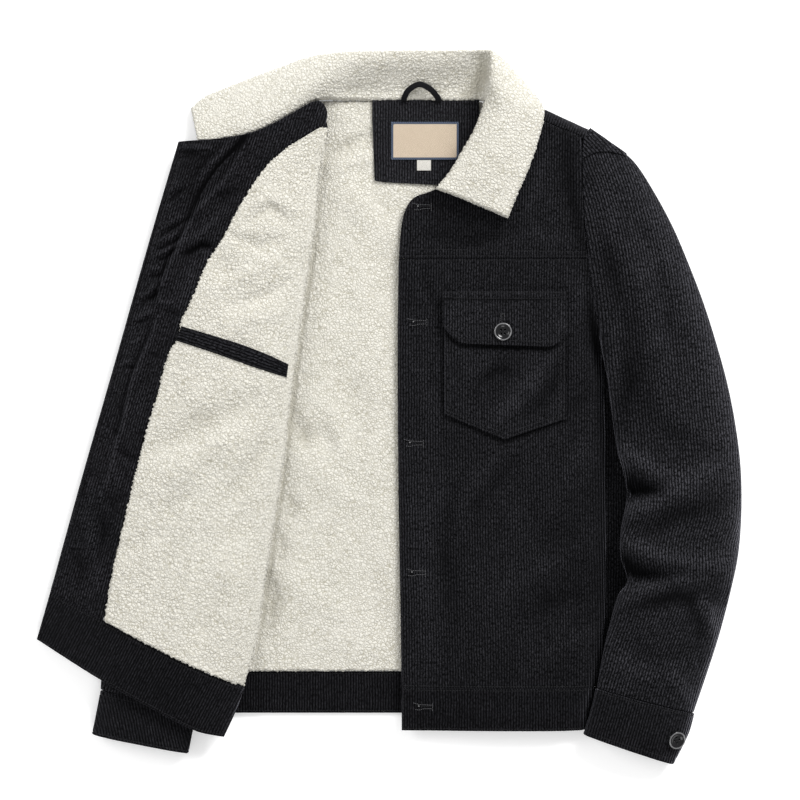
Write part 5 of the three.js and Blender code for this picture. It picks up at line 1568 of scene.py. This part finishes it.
def buttonPiece(name, standsFor, seat, facing):
    form, outer, bead, around = buttonForm, buttonForm["radius"], buttonForm["bead"], buttonForm["around"]
    r = np.unique(np.concatenate([np.arange(0, form["fine"], 0.28), np.linspace(form["fine"], outer - 1, 22),
                                  outer - 1 + np.sin(np.linspace(0, np.pi / 2, 8))]))[1:]
    turn = 2 * np.pi * np.arange(around) / around
    radius, angle = np.meshgrid(r, turn, indexing="ij")
    x, y = radius * np.cos(angle), radius * np.sin(angle)
    bowl = share(radius, form["floor"], form["wall"])
    z = form["thick"] - bead - (form["dish"] - bead) * (1 - bowl ** 1.5)
    over = np.clip((radius - (outer - form["rim"])) / form["rim"], 0, 1)
    z = np.where(over > 0, form["thick"] - bead + bead * np.sin(np.pi * np.minimum(over, 0.5)), z)
    z = z - np.where(over > 0.5, 1 - np.sqrt(1 - (2 * over - 1) ** 2 + 1e-9), 0)
    for sx in (-1, 1):
        for sy in (-1, 1):
            away = np.hypot(x - sx * form["holeStep"], y - sy * form["holeStep"])
            z = z - form["holeDepth"] * (1 - step(away, form["holeRadius"] * 0.75, form["holeRadius"] * 1.2))
    top = np.stack([x, y, z], -1).reshape(-1, 3)
    side = top[-around:] * np.array([1, 1, 0]) + np.array([0, 0, form["thick"] - form["lip"]])
    base = top[-around:] * np.array([form["foot"], form["foot"], 0])
    points = np.concatenate([top, side, base, [[0, 0, form["thick"] - form["dish"]], [0, 0, 0]]])
    quads = tubeQuads(len(r) + 2, around, 0, True)
    j = np.arange(around)
    after, start = (j + 1) % around, (len(r) + 1) * around  # start is the base's first point
    fans = np.concatenate([np.stack([np.full(around, len(points) - 2), j, after], 1),
                           np.stack([np.full(around, len(points) - 1), start + after, start + j], 1)])
    turned = Vector(facing).normalized().to_track_quat("Z", "Y").to_matrix()
    turned = np.array(turned) if facing[2] < 0.999 else np.eye(3)
    points = points @ turned.T + np.array(seat)
    rim = np.zeros(len(points))
    # Between these marks the rim's lighter colour is a painted highlight
    marks = [outer - mark for mark in form["wearAndPaintedLight"]]
    rim[:len(top)] = (step(radius, *marks[:2]) * (1 - step(radius, *marks[2:]))).ravel()
    return makePiece(name, points, quads[:, ::-1], "button", standsFor, {"rim": rim}, fans)


pocketButtonAt = (125.4, 84.2)
seat = (*pocketButtonAt, float(flapBottom(*map(np.array, pocketButtonAt))) + wallOf["flap"] + 0.9)
buttonPiece("pocketButton", ["pocket_button"], seat, (0, 0, 1))


def onCuff(ring, turn):
    return sleevePoint(leftCuffRings, np.array(ring), np.array(turn), 0, cuffGrow, noFolds)


cuffRing, cuffTurn = 1.25, 0.11  # where its button sits
cuffAlong = onCuff(cuffRing + 0.2, cuffTurn) - onCuff(cuffRing - 0.2, cuffTurn)
cuffUp = np.cross(cuffAlong, onCuff(cuffRing, cuffTurn + 0.04) - onCuff(cuffRing, cuffTurn - 0.04))
cuffUp = cuffUp / np.linalg.norm(cuffUp) * np.sign(cuffUp[2])
cuffSeat = onCuff(cuffRing, cuffTurn) + cuffUp * buttonForm["gap"]
buttonPiece("cuffButton", ["cuff_button"], tuple(cuffSeat), tuple(cuffUp))
frontButtonYs = (-228, -112, 22, 148, 250)
for i, y in enumerate(frontButtonYs):
    x, reach = float(openX(y)) + buttonForm["inset"], buttonForm["radius"]
    depth = openWall if i else facingDrop + wallOf["band"] + 0.8
    riseX = float(openTop(x + reach, y) - openTop(x - reach, y))
    riseY = float(openTop(x, y + reach) - openTop(x, y - reach))
    turn = np.linspace(0, 2 * np.pi, 17)
    rimX, rimY = x + reach * np.cos(turn), y + reach * np.sin(turn)
    plane = float(openTop(x, y)) + ((rimX - x) * riseX + (rimY - y) * riseY) / (2 * reach)
    drop = max(float(np.max(plane - openTop(rimX, rimY))), 0) + buttonForm["gap"]
    buttonPiece("frontButton%d" % (i + 1), ["front_button_%d" % (i + 1)],
                (x, y, float(openTop(x, y)) - depth - drop), (riseX, riseY, -2 * reach))
print("buttons ready")


# Worked buttonholes and small marks left by the button threads

def frontFace(x, y):
    return frontTop(x, y) + frontRelief(x, y) + 0.45


def sewPath(height, kind, *knots, pitch=1.9):
    knots = np.array(knots, float)
    run = runOf(knots)
    at = np.linspace(0, run[-1], max(3, int(run[-1] / 0.5)))
    x, y = np.interp(at, run, knots[:, 0]), np.interp(at, run, knots[:, 1])
    sewAlong(lambda u, v: (x, y, height(x, y)), x, y, kind, pitch, 0.15)


holesAt = [(36.9, 221.7), (31.9, 94.6), (28.1, -38.5), (30.3, -181), (38, -328.4)]
for x, y in holesAt:
    def face(a, b, lift=lapRise if y > yokeSeamY or y < hemSeamY else 0):
        return frontFace(a, b) + lift

    sewPath(face, "holeThread", (x - 11, y + 4.4), (x - 4, y + 2.6), (x + 9.5, y + 2.2))
    sewPath(face, "holeThread", (x - 9, y - 2.8), (x - 4, y - 3.4), (x + 1, y - 1.8), (x + 9.5, y - 1.6))
    sewPath(face, "holeThread", (x + 10.3, y + 4.2), (x + 10.3, y - 4.6), pitch=1.5)
    sewPath(face, "thread", (x - 9, y + 1.2), (x + 9, y + 0.3))
    for turn in (0.3, 1.4, 2.5):
        c, s = math.cos(turn), math.sin(turn)
        sewPath(lambda a, b: face(a, b) + 0.3, "knotThread", (x - 4.6 - c, y + 1 - s),
                (x - 4.6 + c, y + 1 + s), pitch=2)


def flapFace(x, y):
    return flapBottom(x, y) + wallOf["flap"] + 0.95


for path in (((123.2, 96), (123, 103)), ((126.8, 96), (127, 103)), ((122.4, 103.6), (127.6, 103.6))):
    sewPath(flapFace, "holeThread", *path, pitch=1.5)


def facingFace(x, y):
    return openTop(x, y) - facingDrop + facingRelief(x, y) + 0.2


for x, y in ((-293.5, 18), (-331, -107)):
    sewPath(facingFace, "thread", (x - 5, y + 0.8), (x + 5, y + 0.2))
print("buttonholes ready")


# All stitches, one small rounded bead of thread each, joined into one piece for each thread

def beads(starts, stops, lift, thick):
    around, stations = 6, np.array([0, 0.12, 0.35, 0.65, 0.88, 1])
    swell = np.array([0.25, 0.75, 1, 1, 0.75, 0.25]) * thick / 2
    side, up = sideAndUp(stops - starts)
    turn = 2 * np.pi * np.arange(around) / around
    centre = starts[:, None] + (stops - starts)[:, None] * stations[None, :, None]
    centre[..., 2] += lift + thick * 0.15 - (2 * stations - 1) ** 2 * 0.2
    c, s = np.cos(turn)[None, None, :, None], np.sin(turn)[None, None, :, None]
    out = side[:, None, None] * c + up[:, None, None] * s
    points = centre[:, :, None] + out * swell[None, :, None, None]
    each = len(stations) * around
    quads = tubeQuads(len(stations), around)
    tips = np.array([[0, 5, 4, 3], [0, 3, 2, 1]])  # two quads close each six-sided end
    tips = np.concatenate([tips, each - around + tips[:, ::-1]])
    quads = np.concatenate([quads, tips])
    shift = (np.arange(len(starts)) * each)[:, None, None]
    return points.reshape(-1, 3), (quads[None] + shift).reshape(-1, 4)


for thread in sorted({run[3] for run in threadRuns}):
    points, quads, count = [], [], 0
    for starts, stops, lift, kind in threadRuns:
        if kind == thread:
            beadPoints, beadQuads = beads(starts, stops, lift, stitchWay["thick"])
            points.append(beadPoints)
            quads.append(beadQuads + count)
            count += len(beadPoints)
    makePiece(thread + "Stitches", np.concatenate(points), np.concatenate(quads), thread, [])
print("stitches ready")


# Floor, light and camera

stageSet = {"floor": 4.0, "floorZ": -0.0004, "albedo": 0.93, "world": 0.5, "glow": 0.3,
            "lamps": {"keyLight": ((1.9, 2.6, 2.1), 1.6, 172), "leftLight": ((-2.6, 1.2, 2.0), 1.4, 44),
                      "footLight": ((0.4, -2.6, 2.1), 1.4, 20)}}


def floorLook():
    look = Look("paleFloor")
    at = look.add("ShaderNodeTexCoord", output=3)
    tint = look.mix(look.noise(at, 3.0) * 0.3, grey(stageSet["albedo"]), grey(stageSet["albedo"] - 0.01))
    return look.finish(Base_Color=tint, Roughness=0.9, Specular_IOR_Level=0.1, Emission_Color=grey(1),
                       Emission_Strength=stageSet["glow"])


bpy.ops.mesh.primitive_grid_add(x_subdivisions=4, y_subdivisions=4, size=stageSet["floor"],
                                location=(0, 0, stageSet["floorZ"]))
floor = bpy.context.object
floor.name = "floor"
floor.data.materials.append(floorLook())


def areaLight(name, place, size, power):
    data = bpy.data.lights.new(name, "AREA")
    data.energy, data.size = power, size
    lamp = bpy.data.objects.new(name, data)
    lamp.location = place
    lamp.rotation_euler = (-Vector(place)).to_track_quat("-Z", "Y").to_euler()
    bpy.context.collection.objects.link(lamp)


for name, (place, size, power) in stageSet["lamps"].items():
    areaLight(name, place, size, power)
world = bpy.data.worlds.new("softWorld")
world.use_nodes = True
background = world.node_tree.nodes["Background"]
background.inputs["Color"].default_value = grey(1)
background.inputs["Strength"].default_value = stageSet["world"]
bpy.context.scene.world = world
bpy.context.scene.view_settings.view_transform = "Standard"

cameraAt = {"lens": 100, "sensor": 36, "place": (12.65, 9.35, 2464)}
camera = bpy.data.objects.new("camera", bpy.data.cameras.new("camera"))
camera.data.lens, camera.data.sensor_width = cameraAt["lens"], cameraAt["sensor"]
camera.location = [part * mm for part in cameraAt["place"]]
bpy.context.collection.objects.link(camera)
bpy.context.scene.camera = camera
print("stage ready")
